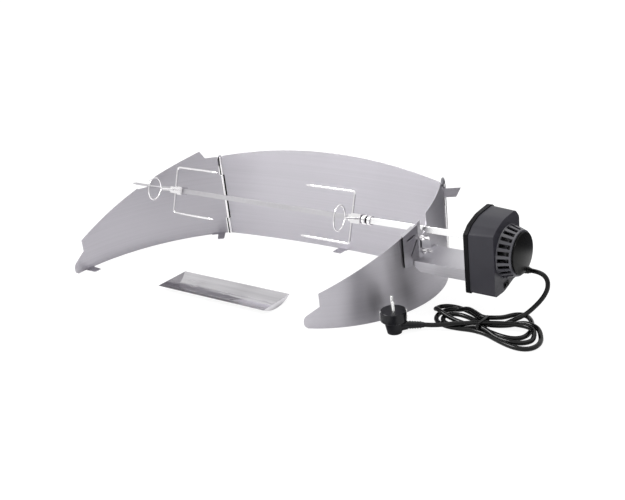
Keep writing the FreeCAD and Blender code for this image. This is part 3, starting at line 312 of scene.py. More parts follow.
def dress(node: str, name: str, body: str, finish: Finish, edge: float = 0.0) -> Obj:
    """Finishes a welded, smooth-shaded copy of a CAD node that stands for it.

    Args:
        node: CAD node.
        name: Piece name.
        body: The moving body that it rides on.
        finish: Its finish.
        edge: Edge round, or 0 for none.

    Returns:
        The copy, which replaces the node.
    """
    source = bpy.data.objects[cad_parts[node].name]
    obj = linked(name, source.data.copy())
    obj.data.materials.clear()
    work = bmesh.new()
    work.from_mesh(obj.data)
    bmesh.ops.remove_doubles(work, verts=work.verts, dist=CAD_WELD)
    bmesh.ops.dissolve_limit(work, angle_limit=CAD_FLAT, verts=work.verts, edges=work.edges)
    work.to_mesh(obj.data)
    work.free()
    shade(obj, CAD_SHARP)
    if edge:
        bevel(obj, edge, 2, CAD_SHARP)
    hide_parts(node)
    return finish_piece(obj, body, finish)


def paint_faces(obj: Obj, finish: Finish, chosen: Callable[[Face], bool]) -> None:
    """Gives the chosen faces of a piece, which has one finish, a second one."""
    obj.data.materials.append(finish.material())
    for face in obj.data.polygons:
        if chosen(face):
            face.material_index = 1


# ---- finishes
class Graph:
    """A node tree with short ways to add nodes and to feed their inputs."""

    def __init__(self, tree: bpy.types.NodeTree) -> None:
        """Keeps the tree that the nodes go into."""
        self.tree = tree

    def feed(self, node: Node, inputs: dict[str | int, object]) -> None:
        """Links an input where its value is another node's output, and sets its constant otherwise."""
        for key, value in inputs.items():
            if isinstance(value, Socket):
                self.tree.links.new(value, node.inputs[key])
            else:
                node.inputs[key].default_value = value

    def add(self, kind: str, inputs: dict | None = None, **settings: object) -> Node:
        """Adds a node.

        Args:
            kind: The node's class.
            inputs: Values or outputs for its inputs, by name or number.
            settings: The node's own properties, such as its operation.

        Returns:
            The node.
        """
        node = self.tree.nodes.new(kind)
        for name, value in settings.items():
            setattr(node, name, value)
        self.feed(node, inputs or {})
        return node

    def math(self, operation: str, first: object, second: object) -> Socket:
        """The result of a math node on two outputs or constants."""
        return self.add("ShaderNodeMath", {0: first, 1: second}, operation=operation).outputs[0]

    def vector(self, operation: str, first: object, second: object, output: int = 0) -> Socket:
        """The result of a vector math node: its output 0 is the vector, 1 the number."""
        return self.add("ShaderNodeVectorMath", {0: first, 1: second}, operation=operation).outputs[output]

    def ramp(self, factor: Socket, *stops: tuple[float, Triple]) -> Socket:
        """A colour ramp between two stops of (position, colour)."""
        node = self.add("ShaderNodeValToRGB", {"Fac": factor})
        for element, (position, colour) in zip(node.color_ramp.elements, stops):
            element.position = position
            element.color = (*colour, 1)
        return node.outputs["Color"]

    def blend(self, share: Socket, first: Node, second: Node, end: Node) -> None:
        """Mixes two shaders by the second one's share, into the output node."""
        mix = self.add("ShaderNodeMixShader", {0: share, 1: first.outputs[0], 2: second.outputs[0]})
        self.feed(end, {"Surface": mix.outputs[0]})


class GrainGroup:
    """Node group for a fine directional grain with broad smudges: roughness and height masks."""

    NAME = "sheet_grain"
    INPUTS = ("Along", "Across", "Smudge Scale", "Smudge Rise")

    @classmethod
    def tree(cls) -> bpy.types.NodeTree:
        """Builds the group once. Stretched noise gives the grain, slow noise gives the smudges."""
        found = bpy.data.node_groups.get(cls.NAME)
        if found:
            return found
        tree = bpy.data.node_groups.new(cls.NAME, "ShaderNodeTree")
        face = tree.interface
        face.new_socket("Vector", in_out="INPUT", socket_type="NodeSocketVector")
        for name in cls.INPUTS:
            face.new_socket(name, in_out="INPUT", socket_type="NodeSocketFloat")
        for name in ("Grain", "Smudge"):
            face.new_socket(name, in_out="OUTPUT", socket_type="NodeSocketFloat")
        graph = Graph(tree)
        start = graph.add("NodeGroupInput").outputs
        along = start["Along"]
        scale = graph.add("ShaderNodeCombineXYZ", {"X": along, "Y": along, "Z": start["Across"]})
        flat = graph.add("ShaderNodeCombineXYZ", {"X": 1.0, "Y": 1.0, "Z": start["Smudge Rise"]})
        stretched = graph.vector("MULTIPLY", start["Vector"], scale.outputs[0])
        banded = graph.vector("MULTIPLY", start["Vector"], flat.outputs[0])
        grain = graph.add("ShaderNodeTexNoise", {"Vector": stretched, "Scale": 1.0, "Detail": 3.0})
        smudge = graph.add("ShaderNodeTexNoise", {"Vector": banded, "Scale": start["Smudge Scale"],
                                                  "Detail": 0.5})
        graph.add("NodeGroupOutput", {"Grain": grain.outputs["Fac"], "Smudge": smudge.outputs["Fac"]})
        return tree


@dataclass(frozen=True)
class Finish:
    """One material: a base colour with grain, smudges and roughness of its own."""

    name: str
    colour: Triple
    metallic: float = 0.0
    roughness: float = 0.4
    rough_swing: float = 0.1
    colour_swing: float = 0.06
    grain_along: float = 6.0
    grain_across: float = 700.0
    smudge_scale: float = 9.0
    smudge_rise: float = 1.0
    bump: float = 0.0
    bump_distance: float = 0.0001
    specular: float = 0.5
    anisotropic: float = 0.0

    NOISE_LOW = 0.3
    NOISE_HIGH = 0.7
    UPRIGHT = (0.05, 0.03, 1.0)

    def material(self) -> bpy.types.Material:
        """The material, made once. Roughness follows the smudges, and colour the grain and the smudges."""
        found = bpy.data.materials.get(self.name)
        if found:
            return found
        mat = bpy.data.materials.new(self.name)
        mat.use_nodes = True
        graph = Graph(mat.node_tree)
        shader = mat.node_tree.nodes["Principled BSDF"]
        place = graph.add("ShaderNodeTexCoord").outputs["Object"]
        noise = graph.add("ShaderNodeGroup", {}, node_tree=GrainGroup.tree())
        graph.feed(noise, {"Vector": place, "Along": self.grain_along, "Across": self.grain_across,
                           "Smudge Scale": self.smudge_scale, "Smudge Rise": self.smudge_rise})
        rough = graph.add("ShaderNodeMapRange", {
            "Value": noise.outputs["Smudge"], "From Min": self.NOISE_LOW, "From Max": self.NOISE_HIGH,
            "To Min": max(0.02, self.roughness - self.rough_swing),
            "To Max": min(1.0, self.roughness + self.rough_swing)})
        graph.feed(shader, {"Metallic": self.metallic, "Specular IOR Level": self.specular,
                            "Roughness": rough.outputs["Result"], "Base Color": self.tinted(graph, noise)})
        if self.anisotropic:
            upright = graph.add("ShaderNodeCombineXYZ", dict(zip("XYZ", self.UPRIGHT)))
            graph.feed(shader, {"Anisotropic": self.anisotropic, "Tangent": upright.outputs["Vector"]})
        if self.bump:
            relief = graph.add("ShaderNodeBump", {"Strength": self.bump, "Distance": self.bump_distance,
                                                  "Height": noise.outputs["Grain"]})
            graph.feed(shader, {"Normal": relief.outputs["Normal"]})
        return mat

    def tinted(self, graph: Graph, noise: Node) -> Socket:
        """The base colour, a little lighter and darker with the grain and the smudges."""
        both = graph.math("ADD", noise.outputs["Grain"], noise.outputs["Smudge"])
        low = tuple(max(0.0, c * (1 - self.colour_swing)) for c in self.colour)
        high = tuple(min(1.0, c * (1 + self.colour_swing)) for c in self.colour)
        return graph.ramp(graph.math("MULTIPLY", both, 0.5), (self.NOISE_LOW, low), (self.NOISE_HIGH, high))


STAINLESS = Finish("satin_stainless", (0.475, 0.462, 0.495), 1.0, 0.39, 0.05, 0.06, 3.0, 350.0, 6.0, 0.12,
                   bump=0.015, bump_distance=0.00005, anisotropic=0.7)
BRIGHT = Finish("polished_steel", (0.84, 0.83, 0.84), 1.0, 0.14, 0.05, 0.03)
SPIT_BRIGHT = Finish("bright_bar", (0.97, 0.97, 0.97), 1.0, 0.32, 0.06, 0.03, 400.0, 20.0)
SPIT_DULL = Finish("drawn_bar", (0.50, 0.49, 0.51), 1.0, 0.36, 0.08, 0.06, 400.0, 20.0)
TRAY_STEEL = Finish("thin_tray_steel", (0.55, 0.54, 0.56), 1.0, 0.13, 0.07, 0.16, 5.0, 300.0, 14.0,
                    bump=0.3, bump_distance=0.0006)
BRACKET_STEEL = Finish("folded_plate_steel", (0.56, 0.55, 0.58), 1.0, 0.36, 0.07, 0.08, 8.0, 400.0)
DARK_STEEL = Finish("dull_inner_steel", (0.30, 0.30, 0.32), 1.0, 0.35)
BRASS = Finish("bearing_brass", (0.65, 0.48, 0.22), 1.0, 0.35)
HOUSING = Finish("housing_plastic", (0.022, 0.021, 0.029), 0.0, 0.36, 0.06, 0.08, 60.0, 60.0, 30.0,
                 bump=0.08, bump_distance=0.0001, specular=0.38)
COVER = Finish("cover_plastic", (0.002, 0.002, 0.003), 0.0, 0.4, 0.05, 0.05, 80.0, 80.0, specular=0.12)
# the ribs' base colour is lighter than the housing's: partly their own tone, partly painted highlight for
# their lit edges
RIB_LIGHTENED = Finish("rib_plastic_painted_highlight", (0.06, 0.059, 0.07), 0.0, 0.24, 0.05, 0.1, 60.0, 60.0, 30.0, specular=0.7)
CAP = Finish("black_cap_gloss", (0.002, 0.002, 0.0016), 0.0, 0.22, 0.05, 0.05, 60.0, 60.0, 20.0,
             specular=0.12)
CORD = Finish("cord_jacket", (0.002, 0.002, 0.002), 0.0, 0.17, 0.04, 0.1, 300.0, 300.0, specular=0.3)
PLUG = Finish("plug_moulding", (0.006, 0.006, 0.008), 0.0, 0.18, 0.06, 0.1, 200.0, 200.0, specular=0.3)
# painted shade: a near-black finish laid on faces where shadow falls, in knuckle seams, the collar's waist
# and the bracket leaf's gap
PAINTED_SHADE = Finish("painted_shade", (0.002, 0.002, 0.002), 0.0, 0.7, specular=0.1)
PIN_METAL = Finish("plug_pin_metal", (0.92, 0.92, 0.91), 1.0, 0.2, 0.05)


# ---- collar
@dataclass(frozen=True)
class Roll:
    """An upright sheet rolled to one radius: a place on it is a length from its start and a height."""

    centre: Pair
    radius: float
    start: float
    turn: int

    def angle(self, length: Array) -> Array:
        """Bearing from the centre: start + turn * length / radius."""
        return self.start + self.turn * length / self.radius

    def points(self, length: Array, height: Number, outward: Number = 0.0) -> Array:
        """Positions at radius + outward from the centre."""
        angle = self.angle(length)
        reach = self.radius + outward
        return np.stack([self.centre[0] + reach * np.cos(angle), self.centre[1] + reach * np.sin(angle),
                         height + 0 * angle], axis=-1)

    def sheet(self, length: Array, height: Array) -> Shape:
        """The collar's sheet through a grid of places; its normals point away from the centre."""
        angle = self.angle(length)
        normals = np.stack([np.cos(angle), np.sin(angle), 0 * angle], axis=-1)
        return thick_sheet(self.points(length, height), normals, SHEET)

    def leaf(self, lengths: Array, low: float, high: float) -> Shape:
        """The strip of sheet that runs into a knuckle, between two heights."""
        return self.sheet(*np.meshgrid(lengths, np.array([low, high]), indexing="ij"))


@dataclass(frozen=True)
class FootTab:
    """A tab bent in at the floor, in millimetres along and in from a sheet: a strip, then a longer lobe."""

    start: float
    lobe_start: float
    lobe_end: float
    reach: float
    strip: float = 5.0
    corner: float = 3.0

    def shape(self, roll: Roll) -> Shape:
        """The tab's outline with its corners rounded, laid along the roll."""
        corners = [(self.start, 0, 0), (self.start, self.strip, 0), (self.lobe_start, self.strip, 0),
                   (self.lobe_start, self.reach, 0), (self.lobe_end, self.reach, 0), (self.lobe_end, 0, 0)]
        eased = rounded_path(corners, self.corner, 6, closed=True) * MM
        plan = roll.points(eased[:, 0], 0.0, -eased[:, 1])
        return plate(plan[:, :2], 0.0, SHEET)


@dataclass
class Wing:
    """A side panel: rolled sheet with a sloping top, a nose, foot tabs, a lid stop and a knuckle."""

    side: Side
    kink: float
    radius: float
    length: float = 302 * MM
    end_top: float = 58 * MM
    end_notch: float = 36.5 * MM
    nose: float = 330 * MM
    nose_top: float = 17 * MM
    nose_round: float = 14 * MM
    heel_round: float = 8 * MM
    peak_at: float = 38 * MM
    peak_top: float = 171.5 * MM
    shoulder: float = 29 * MM
    bow: float = 8.5 * MM
    top_round: float = 1700 * MM
    knuckle_low: float = 31.6 * MM
    knuckle_high: float = 120.8 * MM
    seat_at: float = 4 * MM          # Y of the left wing's spit seat where it begins
    seat_width: float = 26 * MM
    seat_drop: float = 2.55 * MM       # from the spit's axis down to the seat
    notch_radius: float = 8 * MM
    stop_at: float = 0.9 * MM          # lid stop: from the sheet's end, then its reach and heights
    stop_reach: float = 20 * MM
    stop_slant: float = 8 * MM
    stop_low: float = 136 * MM
    stop_rise: float = 15 * MM
    foot_tabs: tuple[FootTab, ...] = (FootTab(38, 25, 11, 34), FootTab(288, 290, 306, 27))
    roll: Roll = field(init=False)

    def __post_init__(self) -> None:
        """Works out the roll's centre and start from the hinge and the kink."""
        heading = math.pi + math.asin(HALF_SPAN / REAR_RADIUS) + math.radians(self.kink)
        centre_x = -HALF_SPAN - math.sin(heading) * self.radius
        centre_y = HINGE_Y + math.cos(heading) * self.radius
        start = heading - math.pi / 2
        if self.side is Side.LEFT:
            self.roll = Roll((centre_x, centre_y), self.radius, start, 1)
        else:
            self.roll = Roll((-centre_x, centre_y), self.radius, math.pi - start, -1)

    def top(self, length: Array) -> Array:
        """The sloping edge: two lines that meet at a tip, less the round that joins them."""
        middle = (self.length + self.peak_at) / 2
        tip = (self.end_top + self.peak_top) / 2 + self.bow
        rear = (self.peak_top - tip) / (middle - self.peak_at)
        front = (tip - self.end_top) / (self.length - middle)
        reach = self.top_round * math.tan((math.atan(front) - math.atan(rear)) / 2)
        inside = np.maximum(0.0, reach - np.abs(middle - length) * math.hypot(1, rear))
        slope = np.where(length < middle, rear, front)
        return tip + (middle - length) * slope - inside ** 2 / (2 * self.top_round)

    def columns(self) -> Array:
        """Columns of (length, bottom, top) from hinge to nose; a repeated length is an upright step."""
        runs: list[Array] = []

        def run(start: float, end: float, count: int, top: Callable) -> None:
            along = np.linspace(start, end, count)
            runs.append(np.stack([along, 0 * along, top(along) + 0 * along], axis=-1))
        run(RELIEF, self.shoulder, 6, lambda s: HINGE_TOP)
        rise = (self.peak_top - HINGE_TOP) / (self.peak_at - self.shoulder)
        run(self.shoulder, self.peak_at, 3, lambda s: HINGE_TOP + (s - self.shoulder) * rise)
        self.spit_cut(run)
        fall = (self.end_notch - self.nose_top) / (self.nose - self.length)
        turn = math.pi / 2 - math.atan(fall)
        centre = (self.nose - self.nose_round, self.nose_top - self.nose_round * math.tan(turn / 2))
        begin = centre[0] + self.nose_round * math.cos(turn)
        run(self.length, begin, 5, lambda s: self.end_notch - (s - self.length) * fall)
        ends = begin + (self.nose - begin) * np.sin(np.linspace(0, math.pi / 2, 12))[1:]
        high = centre[1] + np.sqrt(np.maximum(0, self.nose_round ** 2 - (ends - centre[0]) ** 2))
        heel = np.clip(ends - (self.nose - self.heel_round), 0, self.heel_round)
        low = self.heel_round - np.sqrt(self.heel_round ** 2 - heel ** 2)
        runs.append(np.stack([ends, low, high], axis=-1))
        return np.concatenate(runs)

    def spit_cut(self, run: Callable) -> None:
        """The sloping edge with the seat (left) or the round-bottomed notch (right) in it."""
        if self.side is Side.LEFT:
            first = self.crossing(self.seat_at)
            last = first + self.seat_width
            run(self.peak_at, first, 12, self.top)
            run(first, last, 8, lambda s: np.minimum(self.top(s), SPIT_Z - self.seat_drop))
            run(last, self.length, 16, self.top)
            return
        first = self.crossing(self.notch_radius)
        last = self.crossing(-self.notch_radius)
        run(self.peak_at, first, 10, self.top)
        run(first, last, 17, self.notch)
        run(last, self.length, 22, self.top)

    def notch(self, length: Array) -> Array:
        """Height of the notch's half circle about the spit's axis."""
        y = self.roll.points(length, 0.0)[..., 1]
        return SPIT_Z - np.sqrt(np.maximum(0, self.notch_radius ** 2 - y ** 2))

    def crossing(self, y: float) -> float:
        """The length at which the sheet is at a given Y, from the circle's equation."""
        angle = math.asin((y - self.roll.centre[1]) / self.roll.radius)
        angle = math.pi - angle if self.side is Side.LEFT else angle
        return (angle - self.roll.start) * self.roll.turn * self.roll.radius

    def sheet(self) -> Shape:
        """Rows follow the length, columns rise from the bottom to the top edge in even steps."""
        cols = self.columns()
        rise = np.linspace(0, 1, SHEET_ROWS)[None, :]
        height = cols[:, 1:2] + (cols[:, 2:3] - cols[:, 1:2]) * rise
        return self.roll.sheet(np.repeat(cols[:, :1], SHEET_ROWS, axis=1), height)

    def lid_stop(self) -> Shape:
        """An upright tab that leaves the sheet at a right angle; its end slants in towards the bottom."""
        out, rise = np.meshgrid(np.linspace(0, 1, 4), np.linspace(0, 1, 4), indexing="ij")
        reach = out * (self.stop_reach + self.stop_slant * rise)
        length = np.full_like(out, RELIEF + self.stop_at)
        spot = self.roll.points(length, self.stop_low + self.stop_rise * rise, reach)
        angle = self.roll.angle(length)
        along = np.stack([-np.sin(angle), np.cos(angle), 0 * angle], axis=-1)
        return thick_sheet(spot, along, SHEET)

    def build(self) -> None:
        """Builds the wing's pieces."""
        word = self.side.word
        body = word + "_wing_body"
        span = (self.knuckle_low, self.knuckle_high)
        leaf = self.roll.leaf(np.linspace(LEAF_START, RELIEF, 3), *span)
        make_piece(word + "_wing_sheet", join([self.sheet(), leaf]), body, STAINLESS,
                   word + "_wing", 40, (CUT_EDGE, 1))
        tabs = join([tab.shape(self.roll) for tab in self.foot_tabs] + [self.lid_stop()])
        make_piece(word + "_wing_tabs", tabs, body, STAINLESS)
        tube = knuckle(self.side.value, [span])
        rolled = make_piece(word + "_wing_knuckle", tube, body, BRIGHT)
        # painted shade: the rolled seam's shadow is a dark strip on the knuckle
        paint_seam_shade(rolled, {-1: (-28.0, 50.0), 1: (130.0, 208.0)})


def knuckle(sign: int, spans: list[Pair]) -> Shape:
    """Rolled hinge knuckles: a ring profile with eased ends turned about the pin's line."""
    rings = []
    for low, high in spans:
        profile = [(low, KNUCKLE_BORE_R), (low, KNUCKLE_R - KNUCKLE_EASE), (low + KNUCKLE_EASE, KNUCKLE_R),
                   (high - KNUCKLE_EASE, KNUCKLE_R), (high, KNUCKLE_R - KNUCKLE_EASE), (high, KNUCKLE_BORE_R),
                   (low, KNUCKLE_BORE_R)]
        rings.append(revolve(np.array(profile), (sign * HALF_SPAN, HINGE_Y, 0), "Z", 48))
    return join(rings)


def paint_seam_shade(knuckles: Obj, spans: dict[int, Pair]) -> None:
    """Paints shade on rolled knuckles: a dark strip where the rolled sheet's edge ends, standing in for the
    seam's shadow.

    Args:
        knuckles: The piece.
        spans: For each end, -1 or 1, the painted shade's first and last bearing in degrees about that hinge.
    """
    def in_seam_shade(face: Face) -> bool:
        sign = 1 if face.center[0] > 0 else -1
        x = face.center[0] - sign * HALF_SPAN
        y = face.center[1] - HINGE_Y
        begin, end = spans[sign]
        bearing = math.degrees(math.atan2(y, x))
        return (bearing - begin) % 360 < end - begin and math.hypot(x, y) > SEAM_SHADE_INNER_R
    # painted shade: the seam's outer faces get the dark finish
    paint_faces(knuckles, PAINTED_SHADE, in_seam_shade)


@dataclass
class RearPanel:
    """The middle panel: a shallow roll with an arched top, outer knuckles and one foot tab."""

    end_top: float = 159.5 * MM
    mid_top: float = 181 * MM
    end_step: float = 3 * MM
    top_round: float = 1280 * MM
    low: float = 31.2 * MM
    high: float = 121.2 * MM
    foot_tab: FootTab = FootTab(-29, -27, -9, 21)

    def sheet(self, roll: Roll) -> Shape:
        """The sheet and its leaves. Its top is two lines to a tip, less the round that joins them."""
        end = math.asin(HALF_SPAN / REAR_RADIUS) * REAR_RADIUS
        far = end - RELIEF
        inner = far - self.end_step
        tip = 2 * self.mid_top - self.end_top
        slope = (tip - self.end_top) / inner
        along = np.concatenate([[-far], np.linspace(-inner, inner, 61), [far]])
        inside = np.maximum(0, self.top_round * slope - np.abs(along) * math.hypot(1, slope))
        top = tip - np.abs(along) * slope - inside ** 2 / (2 * self.top_round)
        top[0] = top[-1] = HINGE_TOP
        length = np.repeat(along[:, None], SHEET_ROWS, axis=1)
        parts = [roll.sheet(length, top[:, None] * np.linspace(0, 1, SHEET_ROWS)[None, :])]
        for sign in (-1, 1):
            for low, high in self.spans():
                parts.append(roll.leaf(sign * np.linspace(far, end - LEAF_START, 3), low, high))
        return join(parts)

    def spans(self) -> list[Pair]:
        """The heights between which each side's two knuckles stand."""
        return [(0.0, self.low), (self.high, HINGE_TOP)]

    def build(self) -> None:
        """Builds the panel, its leaves, its knuckles and its tab."""
        sagitta = REAR_RADIUS - math.sqrt(REAR_RADIUS ** 2 - HALF_SPAN ** 2)
        roll = Roll((0.0, HINGE_Y + sagitta - REAR_RADIUS), REAR_RADIUS, math.pi / 2, 1)
        body = "rear_panel_body"
        make_piece("rear_panel_sheet", self.sheet(roll), body, STAINLESS,
                   "rear_panel", 40, (CUT_EDGE, 1))
        tubes = join([knuckle(sign, self.spans()) for sign in (-1, 1)])
        rolled = make_piece("rear_panel_knuckles", tubes, body, BRIGHT)
        # painted shade: the rolled seams' shadow is a dark strip on the knuckles
        paint_seam_shade(rolled, {-1: (220.0, 296.0), 1: (244.0, 320.0)})
        make_piece("rear_panel_tab", self.foot_tab.shape(roll), body, STAINLESS)


@dataclass
class HingePin:
    """A hinge pin: a shank, and a knob that tapers in a soft waist."""

    side: Side
    knob: float
    start: float = 0.5 * MM
    shank_r: float = 2 * MM
    knob_shape: tuple[Pair, ...] = ((0.0, 3.3), (0.35, 3.6), (0.75, 2.7), (0.95, 1.6), (1.0, 0.0))

    def build(self) -> None:
        """Turns the pin; the knob's shape is shares of its height with radii in millimetres."""
        profile = [(self.start, 0.0), (self.start, self.shank_r), (HINGE_TOP, self.shank_r)]
        profile += [(HINGE_TOP + self.knob * share, radius * MM) for share, radius in self.knob_shape]
        pin = revolve(np.array(profile), (self.side.value * HALF_SPAN, HINGE_Y, 0), "Z", 32)
        word = self.side.word
        make_piece(word + "_hinge_pin_turned", pin, word + "_pin_body", DARK_STEEL,
                   word + "_hinge_pin")


# ---- spit
@dataclass
class Fork:
    """Two bent prongs and an eye screw on one hub."""

    side: Side
    bar_x: float
    eye_at: float                     # the eye screw's place along the spit from the prongs
    half: float = 42.5 * MM
    reach: float = 102 * MM
    wire: float = 2 * MM
    point_r: float = 0.5 * MM
    bend: float = 5 * MM
    sleeve: float = 12 * MM
    eye_centre: float = 49 * MM
    eye_length: float = 31 * MM
    eye_width: float = 44 * MM
    eye_wire: float = 1.4 * MM
    tail: float = 2 * MM
    tail_half: float = 1 * MM
    shank_start: float = 4.05 * MM
    shank_r: float = 2 * MM
    thread: float = 0.16 * MM
    ring_share: float = 0.93          # share of the turn that the ring goes round
    ring_square: float = 0.10
    ring_widest: float = 1.02
    ring_points: int = 60
    shank_points: int = 90

    def prongs(self) -> Shape:
        """Each prong is a wire from the sleeve out to a bend and along the spit to a point."""
        parts = []
        tip_x = self.bar_x - self.side.value * self.reach
        for up in (-1, 1):
            corners = [(self.bar_x, 0, up * self.sleeve / 2), (self.bar_x, 0, up * self.half),
                       (tip_x, 0, up * self.half)]
            path = rounded_path(corners, self.bend, 9)
            taper = np.array([0.86, 0.95])[:, None]
            path = np.concatenate([path[:-1], path[-2] + (path[-1] - path[-2]) * taper, path[-1:]])
            radii = np.full(len(path), self.wire)
            radii[-2:] = self.wire * 0.85, self.point_r
            parts.append(place_spit(sweep(path, radii, (0, 1, 0))))
        return join(parts)

    def eye(self) -> Shape:
        """The ring, bent from one wire, and its threaded shank.

        The ring's two ends part at the neck, its outer side is flat and its corners are round: at an angle t
        the wire is at cos(t) along and at sin(t) (1 + square cos(t)) / widest across.
        """
        x = self.bar_x + self.eye_at
        neck = self.eye_centre - self.eye_length / 2
        back = self.eye_centre + self.eye_length / 2 - self.eye_wire
        half = self.eye_width / 2 - self.eye_wire
        count = self.ring_points
        t = np.linspace(-self.ring_share, self.ring_share, count) * math.pi
        y = (neck + back) / 2 + (back - neck) / 2 * np.cos(t)
        z = half * np.sin(t) * (1 + self.ring_square * np.cos(t)) / self.ring_widest
        loop = np.stack([np.full(count, x), -y, z], axis=-1)
        tails = np.array([[x, -(neck - self.tail), self.tail_half]])
        path = np.concatenate([tails * [1, 1, -1], loop, tails])
        ring = sweep(path, np.full(len(path), self.eye_wire), (1, 0, 0), 12)
        count = self.shank_points
        along = np.linspace(self.shank_start, neck, count)
        line = np.stack([np.full(count, x), -along, np.zeros(count)], axis=-1)
        shank = sweep(line, self.shank_r - self.thread * (np.arange(count) % 2), (1, 0, 0), 14)
        return join([place_spit(ring), place_spit(shank)])

    def build(self) -> None:
        """Builds the prongs and the eye screw, and dresses the hub."""
        word = self.side.word
        body = word + "_fork_body"
        make_piece(word + "_fork_wires", self.prongs(), body, BRIGHT, word + "_fork")
        make_piece(word + "_eye_screw", self.eye(), word + "_screw_body", BRIGHT,
                   word + "_thumb_screw")
        dress(word + "_fork_hub", word + "_fork_hub_block", body, BRIGHT, 0.5 * MM)


@dataclass
class Spit:
    """The two bars, and the collar with its waist."""

    start: float = 166.2 * MM
    end: float = 182.8 * MM
    collar_r: float = 8 * MM
    waist_depth: float = 2.2 * MM
    waist_half: float = 0.13          # shares of the collar's length
    edge_share: float = 0.05
    edge_depth: float = 0.8 * MM
    waist_shade_r: float = 6.6 * MM        # the waist is painted dark below this radius, as shade in its groove

    def collar(self) -> Shape:
        """The collar's radius, less a flat-bottomed bell for the waist and a quarter round at each end."""
        t = np.linspace(0, 1, 33)
        waist = np.exp(-((t - 0.5) / self.waist_half) ** 4)
        edge = np.minimum(1, np.minimum(t, 1 - t) / self.edge_share)
        drop = self.edge_depth * (1 - np.sqrt(np.maximum(0, 1 - (1 - edge) ** 2)))
        radius = self.collar_r - self.waist_depth * waist - drop
        side = np.stack([self.start + (self.end - self.start) * t, radius], axis=-1)
        profile = np.concatenate([[(self.start, 0.0)], side, [(self.end, 0.0)]])
        return revolve(profile, (0, 0, SPIT_Z), "X", 48)

    def in_waist_shade(self, face: Face) -> bool:
        """Whether a face of the collar lies in the shade painted in its waist."""
        x, y, z = face.center
        return math.hypot(y, z - SPIT_Z) < self.waist_shade_r and self.start + MM < x < self.end - MM

    def build(self) -> None:
        """Dresses the bars, turns the collar and paints shade in its waist."""
        dress("spit_main_bar", "spit_bar_long", "spit_body", SPIT_DULL, 0.4 * MM)
        dress("spit_drive_bar", "spit_bar_drive", "spit_body", SPIT_BRIGHT, 0.6 * MM)
        collar = make_piece("spit_collar_turned", self.collar(), "spit_body", BRIGHT,
                            "spit_collar", 50)
        # painted shade: the collar's waist faces get the dark finish
        paint_faces(collar, PAINTED_SHADE, self.in_waist_shade)


# ---- bracket
def build_bracket() -> None:
    """Dresses the bracket, whose leaf end is painted dark as the shadow gap against the wing, and its bolts
    and wing nuts.
    """
    folded = dress("motor_bracket", "bracket_plate", "bracket_body", BRACKET_STEEL, 0.35 * MM)
    # painted shadow: the leaf's forward-facing end gets the dark finish
    paint_faces(folded, PAINTED_SHADE, lambda face: face.center[1] < LEAF_SHADE_Y and face.normal[1] < LEAF_SHADE_FACING)
    dress("bracket_bolts", "bracket_bolt_pair", "right_wing_body", BRIGHT, 0.2 * MM)
    for word in ("upper", "lower"):
        dress(word + "_wing_nut", word + "_nut_pressing", word + "_nut_body", BRIGHT, 0.4 * MM)


# ---- motor
@dataclass
class Motor:
    """The motor housing with its cover, ribbed drum, cap, switch and cable gland."""

    centre: Pair = (5.0 * MM, 106.4 * MM)
    cap_r: float = 31.4 * MM
    cap_x: float = 439 * MM
    rim_x: float = 442 * MM
    dome: float = 2.4 * MM
    wall: float = 2.2 * MM

    def cap(self) -> Shape:
        """The cap: a short wall, an eased edge and a dome; radius falls as the dome's circle does."""
        t = np.linspace(0, 1, 24)
        ball = (self.cap_r ** 2 + self.dome ** 2) / (2 * self.dome)
        reach = self.cap_r * (1 - t ** 1.2)
        rise = self.rim_x + np.sqrt(ball ** 2 - reach ** 2) - (ball - self.dome)
        outer = np.stack([rise, reach], axis=-1)
        inner_r = self.cap_r - self.wall
        skirt = np.array([(self.cap_x, inner_r), (self.cap_x, self.cap_r)])
        inner = np.stack([rise[::-1] - self.wall, np.minimum(reach[::-1], inner_r)], axis=-1)
        return revolve(np.concatenate([skirt, outer, inner, skirt[:1]]), (0, *self.centre), "X", 96)

    def build(self) -> None:
        """Builds the cap and dresses the other pieces."""
        make_piece("drum_cap_dome", self.cap(), "motor_body", CAP,
                   "drum_cap", 32, (0.6 * MM, 3, 50))
        for node, name, finish, edge in (("motor_housing", "housing_shell", HOUSING, 0.8),
                                         ("motor_rear_cover", "rear_cover", COVER, 0.6),
                                         # drum ribs: base colour carries painted highlight
                                         ("vent_drum", "drum_ribs", RIB_LIGHTENED, 0.3),
                                         ("motor_hanger", "hanger_strap", BRACKET_STEEL, 0.3),
                                         ("cover_screws", "cover_screw_set", DARK_STEEL, 0.0),
                                         ("rocker_frame", "rocker_rim", COVER, 0.0),
                                         ("socket_bush", "bush_ring", BRASS, 0.0),
                                         ("gear_plate", "gear_carrier", DARK_STEEL, 0.0),
                                         ("geared_motor", "motor_can", DARK_STEEL, 0.0),
                                         ("cable_gland", "gland_boot", CORD, 0.4)):
            dress(node, name, "motor_body", finish, edge * MM)
        dress("drive_socket", "socket_gear", "socket_body", DARK_STEEL)
        dress("motor_pinion", "pinion_gear", "pinion_body", BRASS)
        dress("rocker_switch", "rocker_cap", "rocker_body", COVER, 0.2 * MM)


